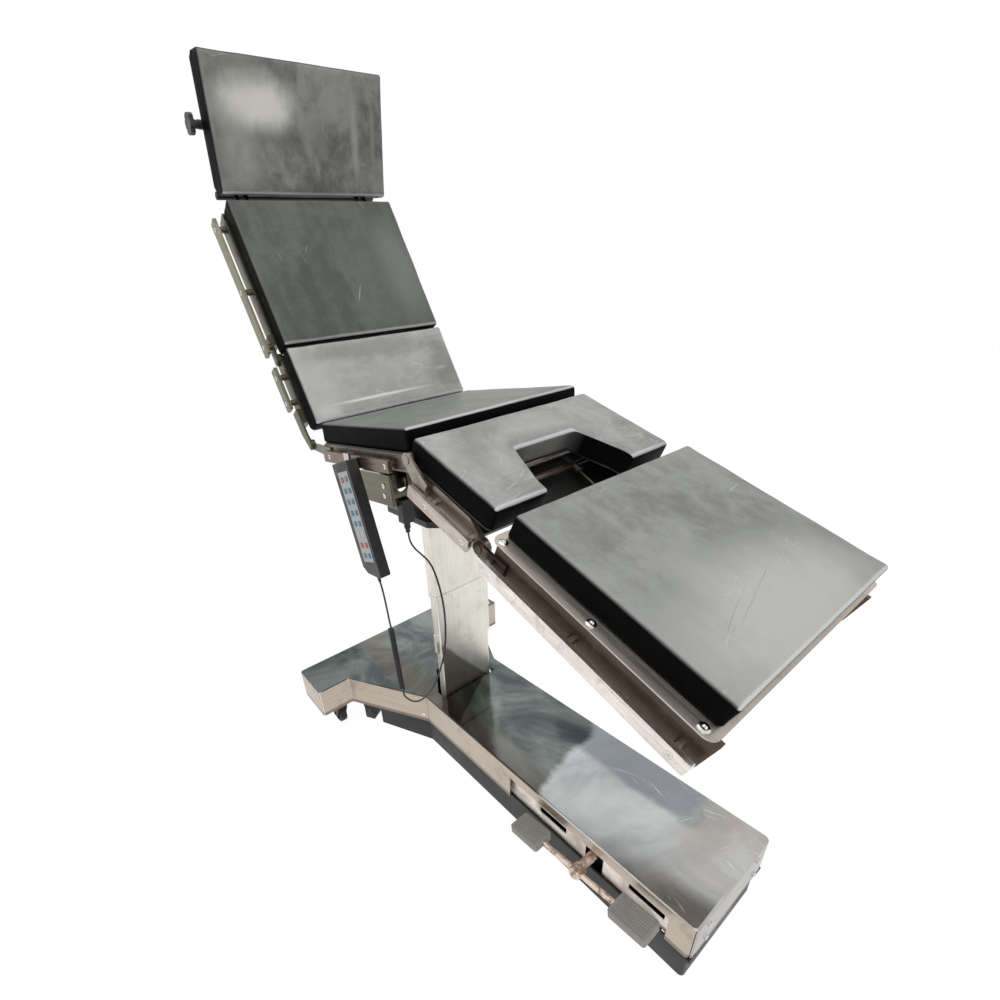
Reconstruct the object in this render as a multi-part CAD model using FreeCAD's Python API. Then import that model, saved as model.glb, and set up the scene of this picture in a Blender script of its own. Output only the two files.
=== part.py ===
import FreeCAD, Part
import math
import os

from FreeCAD import Vector

# An operating table: a T-shaped wheeled base, a telescopic lifting column, a tilting saddle and a top in six
# padded sections. X runs to the foot end, Y to the patient's left, Z up. The origin lies on the floor under
# the middle of the whole object. All sizes are millimetres and all angles are degrees.

# Base
ARM_FOOT_X = 725.0
ARM_WIDTH = 304.0
FLARE_START_X = -150.0
FLARE_END_X = -415.0
FLARE_HALF_WIDTH = 301.5
HEAD_HALF_WIDTH = 416.5
HEAD_END_X = -577.0
COVER_TOP_Z = 204.6
COVER_BOTTOM_Z = 98.5
COVER_WALL = 3.0
COVER_CORNER_R = 12.0
COVER_EDGE_R = 5.0
COVER_SEAM = 1.0
SKIRT_BOTTOM_Z = 12.0
SKIRT_INSET = 6.0
SKIRT_WALL = 5.0
FLOOR_PLATE_T = 8.0
SKIRT_END_X = -344.0
RIB_T = 6.0
BEAM_HALF_X = 45.0
BEAM_H = 36.0
CROSS_BEAM_X = -472.0
SPINE_HALF_Y = 60.0

# Castors
WHEEL_R = 38.0
WHEEL_WIDTH = 26.0
HEAD_CASTOR_Y = 340.0
HEAD_CASTOR_X = -450.0
CASTOR_TRAIL = 18.0
FOOT_WHEEL_X = 610.0
FOOT_WHEEL_Y = 104.0
AXLE_R = 6.0
RUNNING_GAP = 0.3

# Brake feet and rocker pedal
BRAKE_FOOT_R = 26.0
BRAKE_FOOT_H = 8.0
BRAKE_LIFT = 4.0
BRAKE_STEM_R = 8.0
BRAKE_FEET = ((672.0, 60.0), (672.0, -60.0), (-270.0, 150.0), (-270.0, -150.0))
PEDAL_X = 488.0
PEDAL_Z = 148.0
PEDAL_ARM = 140.0
PEDAL_BAR_R = 7.0
PEDAL_BAR_Y = -203.0
PEDAL_HUB_R = 15.0
PEDAL_SHAFT_R = 11.0
PEDAL_PITCH = 7.0
PEDAL_PAD = (84.0, 58.0, 20.0)
RECESS_X0 = 226.0
RECESS_X1 = 672.0
RECESS_TOP_Z = 174.0
RECESS_DEPTH = 10.0
RECESS_PLATE_T = 2.0
SLOT_LENGTH = 83.0
SLOT_HEIGHT = 20.0
SLOT_CENTRES = ((365.5, 137.5), (618.5, 143.5))
HUB_WINDOW_HALF_X = 24.0
HUB_WINDOW_ABOVE = 16.0

# Column
COLUMN_X = -170.0
COLUMN_FRONT = 65.0
COLUMN_HALF_Y = 105.0
COLUMN_SIDE_END = 29.0
COLUMN_REAR_HALF_Y = 40.0
COLUMN_WALL = 2.0
COLUMN_GAP = 2.0
GLIDE_GAP = 0.3
GLIDE_H = 20.0
LOWER_TOP_Z = 432.0
MIDDLE_BOTTOM_Z = 374.0
MIDDLE_TOP_Z = 642.0
UPPER_BOTTOM_Z = 576.0
UPPER_TOP_Z = 803.0
TRIM_BAND = 9.0
SIDE_KNOB_R = 7.0
SIDE_KNOB_Z = 463.0
COLLAR_T = 19.0
COLLAR_TOP_Z = UPPER_TOP_Z + COLLAR_T
COLLAR_HALF_Y = 111.0
COLLAR_FRONT = 92.0
COLLAR_REAR = 150.0
CYLINDER_R = 33.0
CYLINDER_BORE_R = 25.0
CYLINDER_TOP_Z = 460.0
PISTON_R = 20.0
PISTON_BOTTOM_Z = 358.0

# Tilting saddle
TILT_X = -190.0
TILT_RISE = 103.0
TILT_Z = COLLAR_TOP_Z + TILT_RISE
TABLE_PITCH = 4.0
TILT_SHAFT_R = 14.0
EAR_T = 16.0
EAR_INNER_Y = 50.0
EAR_R = 24.0
SADDLE_HALF_X = 75.0
SADDLE_HALF_Y = 200.0
SADDLE_WALL = 8.0
SADDLE_BELOW = 41.0
SADDLE_ABOVE = 40.0
GIMBAL_HALF_Y = 46.0
TRUNNION_R = 12.0

# Table top sections. In each, u runs to the foot, w is square to the pad, and the pivot is the origin.
PAD_HALF_Y = 260.0
PAD_CORNER_R = 14.0
PAD_EDGE_R = 9.0
PAD_T = 51.0
DECK_T = 3.0
SEAT_PITCH = -22.3
SEAT_PIVOT = (TILT_X + 270.0, TILT_Z + 133.0)
LEG_PITCH = -23.3
LEG_PIVOT = (SEAT_PIVOT[0] + 194.7, SEAT_PIVOT[1] - 136.0)
BACK_PITCH = -60.8
BACK_PIVOT = (TILT_X - 201.0, TILT_Z + 102.0)
HEAD_PITCH = -99.7
HEAD_PIVOT_U = -688.0
HEAD_PIVOT_W = 2.0
UPPER_PIVOT_U = -251.0
UPPER_PIVOT_W = -14.0

TABLE_PAD = (-138.0, 271.0, 174.0)
SEAT_PAD = (-4.0, 242.0, 43.0)
LEG_PAD = (40.0, 450.0, 113.0)
LOWER_PAD = (-250.0, -31.0, 62.0)
UPPER_PAD = (-653.0, -252.0, 62.0)
HEAD_PAD_U = (-296.0, -24.0)
HEAD_PAD_TOP = 44.0
HEAD_PAD_T = 52.0
HEAD_PAD_HALF_Y = 258.0
HEAD_POST_Y = 190.0
CLAMP_ROD_PROUD = 4.0
CLAMP_ROD_HALF_Y = HEAD_PAD_HALF_Y + CLAMP_ROD_PROUD
KNOB_U = -164.0
KNOB_GAP = 14.0
KNOB_INNER_Y = CLAMP_ROD_HALF_Y + KNOB_GAP
KNOB_R = 22.0
KNOB_T = 12.0
CUT_MOUTH_HALF_Y = 130.0
CUT_INNER_HALF_Y = 90.0
CUT_DEPTH = 132.0

BAR_INNER_Y = 249.0
BAR_T = 12.0
CHEEK_T = 6.0
CHEEK_GAP = 0.4
RAIL_T = 9.5
RAIL_H = 28.5
RAIL_OUTER_Y = 285.0
SPACER_R = 8.0
RAIL_SCREW_R = 7.0
HINGE_PIN_R = 6.0
HINGE_EYE_R = 18.0
PIN_HEAD_R = 10.0
CROSS_TUBE_R = 12.0

# Hand control and its cord
HANDSET_TOP = (TILT_X + 48.8, TILT_Z + 102.7)
HANDSET_LEAN = 16.4
HANDSET_LENGTH = 286.0
HANDSET_WIDTH = 81.0
HANDSET_T = 28.0
HANDSET_BACK_Y = -288.0
KEYPAD_T = 1.2
HOOK_T = 2.4
HOOK_WIDTH = 26.0
CORD_R = 2.4
COIL_R = 8.5
SOCKET_X = -112.0
SOCKET_Y = -168.0
SOCKET_HALF = 16.0
SOCKET_BOTTOM_Z = TILT_Z - 83.0

BAR_OUTER_Y = BAR_INNER_Y + BAR_T
RAIL_INNER_Y = RAIL_OUTER_Y - RAIL_T
BLOCK_OUTER_Y = BAR_OUTER_Y + 2 * CHEEK_T + CHEEK_GAP

os.makedirs("parts", exist_ok=True)


def box(x0, x1, y0, y1, z0, z1):
    return Part.makeBox(x1 - x0, y1 - y0, z1 - z0, Vector(x0, y0, z0))


def rod(start, direction, radius, length):
    return Part.makeCylinder(radius, length, Vector(*start), Vector(*direction))


def tube(start, direction, outer, inner, length):
    return rod(start, direction, outer, length).cut(rod(start, direction, inner, length))


def prism_z(points, z0, z1):
    corners = [Vector(x, y, z0) for x, y in points]
    face = Part.Face(Part.makePolygon(corners + corners[:1]))
    return face.extrude(Vector(0, 0, z1 - z0))


def prism_y(points, y0, y1):
    corners = [Vector(x, y0, z) for x, z in points]
    face = Part.Face(Part.makePolygon(corners + corners[:1]))
    return face.extrude(Vector(0, y1 - y0, 0))


def mirrored(shape):
    return shape.mirror(Vector(0, 0, 0), Vector(0, 1, 0))


def both_sides(shapes):
    return shapes + [mirrored(s) for s in shapes]


def fused(shapes):
    whole = shapes[0]
    if len(shapes) > 1:
        whole = whole.multiFuse(shapes[1:])
    return whole.removeSplitter()


def upright_edges(shape):
    found = []
    for edge in shape.Edges:
        ends = [v.Point for v in edge.Vertexes]
        if len(ends) == 2 and abs(ends[0].x - ends[1].x) < 1e-6 and abs(ends[0].y - ends[1].y) < 1e-6:
            found.append(edge)
    return found


def edges_at_z(shape, z):
    return [e for e in shape.Edges if abs(e.BoundBox.ZMin - z) < 1e-6 and abs(e.BoundBox.ZMax - z) < 1e-6]


def save(name, *shapes):
    solids = []
    for shape in shapes:
        solids += shape.Solids
    Part.Compound(solids).exportStep(f"parts/{name}.step")


class Section:
    """A part of the table top, drawn flat about its pivot and then pitched into its place."""

    def __init__(self, pivot, pitch):
        self.x, self.z = pivot
        self.pitch = pitch

    def place(self, *shapes):
        moved = []
        for shape in shapes:
            shape = shape.copy()
            shape.rotate(Vector(0, 0, 0), Vector(0, 1, 0), -self.pitch)
            shape.translate(Vector(self.x, 0, self.z))
            moved.append(shape)
        return moved

    def to_part(self, u, w):
        t = math.radians(self.pitch)
        return self.x + u * math.cos(t) - w * math.sin(t), self.z + u * math.sin(t) + w * math.cos(t)

    def from_part(self, x, z):
        t = math.radians(self.pitch)
        dx, dz = x - self.x, z - self.z
        return dx * math.cos(t) + dz * math.sin(t), -dx * math.sin(t) + dz * math.cos(t)


TABLE = Section((TILT_X, TILT_Z), TABLE_PITCH)
SEAT = Section(SEAT_PIVOT, SEAT_PITCH)
LEG = Section(LEG_PIVOT, LEG_PITCH)
BACK = Section(BACK_PIVOT, BACK_PITCH)
HEAD = Section(BACK.to_part(HEAD_PIVOT_U, HEAD_PIVOT_W), HEAD_PITCH)


# Base covers: two polished steel shells that meet at a seam across the column

def base_outline(inset):
    half = ARM_WIDTH / 2
    points = [
        (ARM_FOOT_X, half),
        (FLARE_START_X, half),
        (FLARE_END_X, FLARE_HALF_WIDTH),
        (FLARE_END_X, HEAD_HALF_WIDTH),
        (HEAD_END_X, HEAD_HALF_WIDTH),
    ]
    points += [(x, -y) for x, y in reversed(points)]
    corners = [Vector(x, y, 0) for x, y in points]
    face = Part.Face(Part.makePolygon(corners + corners[:1]))
    return face.makeOffset2D(-inset) if inset else face


def base_prism(inset, z0, z1):
    face = base_outline(inset)
    face.translate(Vector(0, 0, z0))
    return face.extrude(Vector(0, 0, z1 - z0))


def column_outline(grow):
    half, rear = COLUMN_HALF_Y + grow, COLUMN_REAR_HALF_Y + grow * 0.6
    points = [
        (COLUMN_FRONT + grow, -half),
        (COLUMN_FRONT + grow, half),
        (COLUMN_SIDE_END, half),
        (-COLUMN_FRONT - grow, rear),
        (-COLUMN_FRONT - grow, -rear),
        (COLUMN_SIDE_END, -half),
    ]
    return [(COLUMN_X + x, y) for x, y in points]


shell = base_prism(0, COVER_BOTTOM_Z, COVER_TOP_Z)
shell = shell.makeFillet(COVER_CORNER_R, upright_edges(shell))
shell = shell.makeFillet(COVER_EDGE_R, edges_at_z(shell, COVER_TOP_Z))
shell = shell.cut(base_prism(COVER_WALL, COVER_BOTTOM_Z - 1, COVER_TOP_Z - COVER_WALL))
shell = shell.cut(prism_z(column_outline(3), COVER_TOP_Z - 20, COVER_TOP_Z + 1))
half_arm = ARM_WIDTH / 2
recess_cut = box(RECESS_X0, RECESS_X1, -half_arm - 1, -half_arm + COVER_WALL + 1,
                 COVER_BOTTOM_Z - 1, RECESS_TOP_Z)
far = 1000.0
head_side = box(-far, FLARE_START_X, -far, far, 0, far)
foot_side = box(FLARE_START_X + COVER_SEAM, far, -far, far, 0, far)
head_cover = shell.common(head_side)
foot_cover = shell.common(foot_side).cut(recess_cut)

# The foot cover keeps a folded lip all round the pedal recess
lip_y0 = -half_arm + COVER_WALL
lip_y1 = lip_y0 + RECESS_DEPTH - 0.2
lip = box(RECESS_X0, RECESS_X1, lip_y0, lip_y1, RECESS_TOP_Z, RECESS_TOP_Z + COVER_WALL)
foot_cover = fused([foot_cover, lip])

# Pedal recess plate with two long slots and a hub opening
plate_y0 = -half_arm + COVER_WALL + RECESS_DEPTH
plate_y1 = plate_y0 + RECESS_PLATE_T
recess_plate = box(RECESS_X0 - 12, RECESS_X1 + 12, plate_y0, plate_y1, COVER_BOTTOM_Z, RECESS_TOP_Z + 8)
for slot_x, slot_z in SLOT_CENTRES:
    slot = box(slot_x - SLOT_LENGTH / 2, slot_x + SLOT_LENGTH / 2, plate_y0 - 1, plate_y1 + 1,
               slot_z - SLOT_HEIGHT / 2, slot_z + SLOT_HEIGHT / 2)
    slot = slot.makeFillet(3, [e for e in slot.Edges if e.BoundBox.YLength > 1])
    recess_plate = recess_plate.cut(slot)
hub_window = box(PEDAL_X - HUB_WINDOW_HALF_X, PEDAL_X + HUB_WINDOW_HALF_X, plate_y0 - 1, plate_y1 + 1,
                 COVER_BOTTOM_Z - 1, PEDAL_Z + HUB_WINDOW_ABOVE)
recess_plate = recess_plate.cut(hub_window)
save("pedal_recess_plate", recess_plate)

# Base frame: a welded tray whose walls are the black skirt, with ribs, and a tubular head beam
tray_outline = [
    (ARM_FOOT_X - SKIRT_INSET, half_arm - SKIRT_INSET),
    (FLARE_START_X, half_arm - SKIRT_INSET),
    (SKIRT_END_X, 240.0),
    (SKIRT_END_X, -240.0),
    (FLARE_START_X, -half_arm + SKIRT_INSET),
    (ARM_FOOT_X - SKIRT_INSET, -half_arm + SKIRT_INSET),
]
tray = prism_z(tray_outline, SKIRT_BOTTOM_Z, COVER_BOTTOM_Z - RUNNING_GAP)
tray = tray.makeFillet(10, upright_edges(tray))
corners = [Vector(x, y, SKIRT_BOTTOM_Z + FLOOR_PLATE_T) for x, y in tray_outline]
hollow = Part.Face(Part.makePolygon(corners + corners[:1])).makeOffset2D(-SKIRT_WALL)
tray = tray.cut(hollow.extrude(Vector(0, 0, 200)))
ribs = []
rib_top = COVER_BOTTOM_Z - RUNNING_GAP
for rib_x in (520.0, 330.0, 130.0, -60.0):
    ribs.append(box(rib_x, rib_x + RIB_T, -half_arm + SKIRT_INSET + 2, half_arm - SKIRT_INSET - 2,
                    SKIRT_BOTTOM_Z + 2, rib_top))
spine_z0 = COVER_BOTTOM_Z + 10.0
spine = box(CROSS_BEAM_X, SKIRT_END_X + 60, -SPINE_HALF_Y, SPINE_HALF_Y, spine_z0, spine_z0 + BEAM_H)
beam = box(CROSS_BEAM_X - BEAM_HALF_X, CROSS_BEAM_X + BEAM_HALF_X, -HEAD_CASTOR_Y - 40, HEAD_CASTOR_Y + 40,
           spine_z0, spine_z0 + BEAM_H)
beam = beam.cut(box(CROSS_BEAM_X - BEAM_HALF_X + 4, CROSS_BEAM_X + BEAM_HALF_X - 4, -HEAD_CASTOR_Y - 41,
                    -SPINE_HALF_Y, spine_z0 + 4, spine_z0 + BEAM_H - 4))
beam = beam.cut(box(CROSS_BEAM_X - BEAM_HALF_X + 4, CROSS_BEAM_X + BEAM_HALF_X - 4, SPINE_HALF_Y,
                    HEAD_CASTOR_Y + 41, spine_z0 + 4, spine_z0 + BEAM_H - 4))
riser = box(SKIRT_END_X + 20, SKIRT_END_X + 60, -SPINE_HALF_Y, SPINE_HALF_Y, SKIRT_BOTTOM_Z + 2, spine_z0 + 2)
column_foot = box(COLUMN_X - 62, COLUMN_X + 58, -62, 62, SKIRT_BOTTOM_Z + 2, SKIRT_BOTTOM_Z + 30)
cradle = []
for side in (-1, 1):
    for cheek in (-1, 1):
        y = side * FOOT_WHEEL_Y + cheek * (WHEEL_WIDTH / 2 + 6)
        cradle.append(box(FOOT_WHEEL_X - 16, FOOT_WHEEL_X + 16, y - 3, y + 3,
                          SKIRT_BOTTOM_Z + 2, WHEEL_R + 16))
cover_posts = []
for side in (-1, 1):
    cover_posts.append(box(CROSS_BEAM_X - 20, CROSS_BEAM_X + 20, side * 220 - 20, side * 220 + 20,
                           spine_z0 + BEAM_H - 2, COVER_TOP_Z - COVER_WALL - RUNNING_GAP))
base_frame = fused([tray] + ribs + [spine, beam, riser, column_foot] + cradle + cover_posts)
for side in (-1, 1):
    wheel_slot = box(FOOT_WHEEL_X - WHEEL_R - 4, FOOT_WHEEL_X + WHEEL_R + 4,
                     side * FOOT_WHEEL_Y - WHEEL_WIDTH / 2 - 2.5,
                      side * FOOT_WHEEL_Y + WHEEL_WIDTH / 2 + 2.5, 0, 90)
    base_frame = base_frame.cut(wheel_slot)
    axle_hole = rod((FOOT_WHEEL_X, side * FOOT_WHEEL_Y - 22, WHEEL_R), (0, 1, 0), AXLE_R + 0.05, 44)
    base_frame = base_frame.cut(axle_hole)
    swivel_hole = rod((HEAD_CASTOR_X, side * HEAD_CASTOR_Y, spine_z0 - 1), (0, 0, 1), 8.05, BEAM_H + 2)
    base_frame = base_frame.cut(swivel_hole)
for foot_x, foot_y in BRAKE_FEET:
    base_frame = base_frame.cut(rod((foot_x, foot_y, 0), (0, 0, 1), BRAKE_STEM_R + 0.05, 40))
pedal_bearing = box(PEDAL_X - 22, PEDAL_X + 22, -116, -96, SKIRT_BOTTOM_Z + 2, PEDAL_Z + 22)
base_frame = fused([base_frame, pedal_bearing])
base_frame = base_frame.cut(rod((PEDAL_X, -117, PEDAL_Z), (0, 1, 0), PEDAL_SHAFT_R + 0.05, 22))
save("base_frame", base_frame)

# Black rubber corner trims at the foot end, between the cover and the skirt
trims = []
for side in (-1, 1):
    y_edge = side * half_arm
    strip = box(ARM_FOOT_X - 26, ARM_FOOT_X + 0.5,
                min(y_edge, y_edge - side * 26), max(y_edge, y_edge - side * 26),
                COVER_BOTTOM_Z - 7, COVER_BOTTOM_Z - RUNNING_GAP)
    inner = box(ARM_FOOT_X - 40, ARM_FOOT_X - SKIRT_INSET + 0.2,
                min(side * 100, side * (half_arm - SKIRT_INSET + 0.2)),
                max(side * 100, side * (half_arm - SKIRT_INSET + 0.2)), 0, 200)
    trims.append(strip.cut(inner))
save("corner_trims", *trims)

# Power inlet box under the near flare of the cover
flare_dx, flare_dy = FLARE_END_X - FLARE_START_X, FLARE_HALF_WIDTH - half_arm
flare_length = math.hypot(flare_dx, flare_dy)
flare_turn = math.degrees(math.atan2(flare_dy, -flare_dx))


def on_flare(shape):
    """Moves a shape drawn along the near flare, from its foot end, with y = 0 on the cover's face."""
    shape = shape.copy()
    shape.rotate(Vector(0, 0, 0), Vector(0, 0, 1), flare_turn)
    shape.translate(Vector(FLARE_START_X, -half_arm, 0))
    return shape


inlet_box = on_flare(box(-262, -226, 6, 52, 30, COVER_BOTTOM_Z - RUNNING_GAP))
inlet_flange = on_flare(box(-262, -226, COVER_WALL, COVER_WALL + 5, COVER_BOTTOM_Z - 12, COVER_BOTTOM_Z + 24))
inlet_box = fused([inlet_box.cut(prism_z(tray_outline, 0, 200)), inlet_flange])
inlet_socket = on_flare(box(-256, -232, 3.5, 6, 56, 82))
save("power_inlet", inlet_box, inlet_socket)

# Cover screws: dome heads on the end face, on both flares and by the seam
screws = []
for screw_y, screw_z in ((-100, 128), (100, 128), (-100, 176), (100, 176)):
    screws.append(rod((ARM_FOOT_X - COVER_WALL, screw_y, screw_z), (1, 0, 0), 6, COVER_WALL + 2.5))
flare_screw = on_flare(rod((-16, 3, 128), (0, -1, 0), 6, 5.5))
screws += [flare_screw, mirrored(flare_screw)]
screw_holes = [rod((ARM_FOOT_X - COVER_WALL - 1, y, z), (1, 0, 0), 6, COVER_WALL + 4)
               for y, z in ((-100, 128), (100, 128), (-100, 176), (100, 176))]
save("cover_screws", *screws)
foot_cover = foot_cover.cut(fused(screw_holes))
save("foot_cover", foot_cover)
head_cover = head_cover.cut(flare_screw).cut(mirrored(flare_screw))
save("head_cover", head_cover)


# Castors: two swivelling forks under the head wings, and four wheels

def wheel(x, y):
    tyre = rod((x, y - WHEEL_WIDTH / 2, WHEEL_R), (0, 1, 0), WHEEL_R, WHEEL_WIDTH)
    rims = [e for e in tyre.Edges if abs(e.BoundBox.ZMax - 2 * WHEEL_R) < 0.5 and e.BoundBox.YLength < 0.5]
    tyre = tyre.makeFillet(5, rims)
    for side in (-1, 1):
        dish = rod((x, y + side * WHEEL_WIDTH / 2, WHEEL_R), (0, -side, 0), WHEEL_R - 12, 5)
        boss = rod((x, y + side * WHEEL_WIDTH / 2, WHEEL_R), (0, -side, 0), 12, 6)
        tyre = tyre.cut(dish).fuse(boss)
    return tyre.cut(rod((x, y - 30, WHEEL_R), (0, 1, 0), AXLE_R, 60))


for number, side in ((1, -1), (2, 1)):
    wheel_x = HEAD_CASTOR_X - CASTOR_TRAIL
    castor_y = side * HEAD_CASTOR_Y
    fork = rod((HEAD_CASTOR_X, castor_y, WHEEL_R * 2 + 4), (0, 0, 1), 24,
               spine_z0 - WHEEL_R * 2 - 4 - RUNNING_GAP)
    stem = rod((HEAD_CASTOR_X, castor_y, WHEEL_R * 2 + 6), (0, 0, 1), 8, BEAM_H + spine_z0 - WHEEL_R * 2)
    arms = []
    for cheek in (-1, 1):
        y = castor_y + cheek * (WHEEL_WIDTH / 2 + 4)
        outline = [(wheel_x - 12, WHEEL_R - 12), (wheel_x + 12, WHEEL_R - 12),
                   (HEAD_CASTOR_X + 20, WHEEL_R * 2 + 3),
                   (HEAD_CASTOR_X + 20, WHEEL_R * 2 + 9), (HEAD_CASTOR_X - 28, WHEEL_R * 2 + 9)]
        arms.append(prism_y(outline, y - 2.5, y + 2.5))
    axle = rod((wheel_x, castor_y - 22, WHEEL_R), (0, 1, 0), AXLE_R - 0.05, 44)
    save(f"castor_fork_{number}", fused([fork, stem] + arms + [axle]))
    save(f"castor_wheel_{number}", wheel(wheel_x, castor_y))
    fixed_axle = rod((FOOT_WHEEL_X, side * FOOT_WHEEL_Y - 21, WHEEL_R), (0, 1, 0), AXLE_R - 0.05, 42)
    foot_wheel = wheel(FOOT_WHEEL_X, side * FOOT_WHEEL_Y)
    save(f"foot_wheel_{number}", foot_wheel.fuse(fixed_axle))

# Brake feet: four rubber feet on stems that the pedal pushes down
feet = []
for foot_x, foot_y in BRAKE_FEET:
    disc = rod((foot_x, foot_y, BRAKE_LIFT), (0, 0, 1), BRAKE_FOOT_R, BRAKE_FOOT_H - 0.5)
    stem = rod((foot_x, foot_y, BRAKE_LIFT), (0, 0, 1), BRAKE_STEM_R, 60)
    feet.append(fused([disc, stem]))
save("brake_feet", *feet)

# Rocker pedal: a shaft through the recess, a cross bar and two ribbed treads
pedal = Section((PEDAL_X, PEDAL_Z), PEDAL_PITCH)
shaft = rod((0, -112, 0), (0, -1, 0), PEDAL_SHAFT_R, -112 - PEDAL_BAR_Y)
hub = rod((0, PEDAL_BAR_Y + 16, 0), (0, -1, 0), PEDAL_HUB_R, 30)
hub = hub.makeFillet(4, [e for e in hub.Edges if e.BoundBox.YLength < 0.1])
shaft_in = rod((0, -113, 0), (0, 1, 0), PEDAL_SHAFT_R - 0.0, 22)
bar = rod((-PEDAL_ARM, PEDAL_BAR_Y, 0), (1, 0, 0), PEDAL_BAR_R, 2 * PEDAL_ARM)
save("pedal_shaft", *pedal.place(fused([shaft, shaft_in, hub, bar])))
pads = []
for side in (-1, 1):
    length, width, height = PEDAL_PAD
    centre = side * PEDAL_ARM
    tread = box(centre - length / 2, centre + length / 2, PEDAL_BAR_Y - width / 2, PEDAL_BAR_Y + width / 2,
                -height / 2, height / 2)
    tread = tread.makeFillet(6, upright_edges(tread))
    for step in range(9):
        groove_y = PEDAL_BAR_Y - width / 2 + 5 + step * 6
        tread = tread.cut(box(centre - length / 2 + 5, centre + length / 2 - 5, groove_y, groove_y + 2,
                              height / 2 - 1.5, height / 2 + 1))
    bar_hole = rod((-PEDAL_ARM, PEDAL_BAR_Y, 0), (1, 0, 0), PEDAL_BAR_R, 2 * PEDAL_ARM)
    pads.append(tread.cut(bar_hole))
save("pedal_treads", *pedal.place(*pads))


# Column: three telescopic covers round a lifting cylinder

def column_cover(grow, z0, z1):
    outer = prism_z(column_outline(grow), z0, z1)
    outer = outer.makeFillet(5, upright_edges(outer))
    return outer.cut(prism_z(column_outline(grow - COLUMN_WALL), z0 - 1, z1 + 1))


def glide_pads(grow, z0):
    """Strips inside a cover's front, back and sides that run along the cover inside it."""
    depth = COLUMN_GAP - GLIDE_GAP
    front, half = COLUMN_FRONT + grow - COLUMN_WALL, COLUMN_HALF_Y + grow - COLUMN_WALL
    pads = [box(COLUMN_X + front - depth, COLUMN_X + front + 1, -30, 30, z0, z0 + GLIDE_H),
            box(COLUMN_X - front - 1, COLUMN_X - front + depth, -15, 15, z0, z0 + GLIDE_H)]
    for side in (-1, 1):
        pads.append(box(COLUMN_X + 36, COLUMN_X + 52, min(side * (half + 1), side * (half - depth)),
                        max(side * (half + 1), side * (half - depth)), z0, z0 + GLIDE_H))
    return pads


step_in = COLUMN_WALL + COLUMN_GAP
save("column_cover_lower", column_cover(-2 * step_in, SKIRT_BOTTOM_Z + 30.3, LOWER_TOP_Z))
side_knob = rod((COLUMN_X + 40, COLUMN_HALF_Y - step_in - 1, SIDE_KNOB_Z), (0, 1, 0), SIDE_KNOB_R, 15)
catch = box(COLUMN_X + 34, COLUMN_X + 48, -COLUMN_HALF_Y + step_in - 6, -COLUMN_HALF_Y + step_in + 1,
            MIDDLE_BOTTOM_Z, MIDDLE_BOTTOM_Z + 66)
middle = column_cover(-step_in, MIDDLE_BOTTOM_Z, MIDDLE_TOP_Z)
save("column_cover_middle", fused([middle, side_knob, catch] + glide_pads(-step_in, MIDDLE_BOTTOM_Z + 2)))
band = column_cover(1.5, UPPER_BOTTOM_Z, UPPER_BOTTOM_Z + TRIM_BAND)
upper = column_cover(0, UPPER_BOTTOM_Z, UPPER_TOP_Z)
save("column_cover_upper", fused([upper, band] + glide_pads(0, UPPER_BOTTOM_Z + 2)))

collar_points = [
    (COLUMN_X + COLLAR_FRONT, -COLLAR_HALF_Y + 26), (COLUMN_X + COLLAR_FRONT, COLLAR_HALF_Y - 26),
    (COLUMN_X + COLLAR_FRONT - 30, COLLAR_HALF_Y), (COLUMN_X - COLLAR_REAR + 20, COLLAR_HALF_Y),
    (COLUMN_X - COLLAR_REAR, COLLAR_HALF_Y - 20), (COLUMN_X - COLLAR_REAR, -COLLAR_HALF_Y + 20),
    (COLUMN_X - COLLAR_REAR + 20, -COLLAR_HALF_Y), (COLUMN_X + COLLAR_FRONT - 30, -COLLAR_HALF_Y)]
collar = prism_z(collar_points, UPPER_TOP_Z, COLLAR_TOP_Z)
collar = collar.makeFillet(4, edges_at_z(collar, UPPER_TOP_Z))
save("column_collar", collar)

cylinder_foot_z = SKIRT_BOTTOM_Z + 30
cylinder = rod((COLUMN_X, 0, cylinder_foot_z), (0, 0, 1), CYLINDER_R, CYLINDER_TOP_Z - cylinder_foot_z)
cylinder = cylinder.cut(rod((COLUMN_X, 0, cylinder_foot_z + 12), (0, 0, 1), CYLINDER_BORE_R, 600))
gland = tube((COLUMN_X, 0, CYLINDER_TOP_Z - 24), (0, 0, 1), CYLINDER_R, PISTON_R + 0.05, 24)
save("lift_cylinder", fused([cylinder, gland]))
piston = rod((COLUMN_X, 0, PISTON_BOTTOM_Z), (0, 0, 1), PISTON_R, UPPER_TOP_Z - PISTON_BOTTOM_Z)
piston_head = rod((COLUMN_X, 0, PISTON_BOTTOM_Z), (0, 0, 1), CYLINDER_BORE_R - 0.05, 16)
save("lift_piston", fused([piston, piston_head]))

# Column head: a casting with two ears that carry the tilt shaft
plate = box(TILT_X - 52, TILT_X + 52, -EAR_INNER_Y - EAR_T, EAR_INNER_Y + EAR_T,
            COLLAR_TOP_Z, COLLAR_TOP_Z + 12)
ear_outline = [(TILT_X - 48, COLLAR_TOP_Z + 4), (TILT_X + 48, COLLAR_TOP_Z + 4), (TILT_X + EAR_R, TILT_Z),
               (TILT_X - EAR_R, TILT_Z)]
ears = []
for side in (-1, 1):
    y0 = min(side * EAR_INNER_Y, side * (EAR_INNER_Y + EAR_T))
    ears.append(prism_y(ear_outline, y0, y0 + EAR_T))
    ears.append(rod((TILT_X, y0, TILT_Z), (0, 1, 0), EAR_R, EAR_T))
column_head = fused([plate] + ears)
column_head = column_head.cut(rod((TILT_X, -100, TILT_Z), (0, 1, 0), TILT_SHAFT_R, 200))
save("column_head", column_head)
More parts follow.
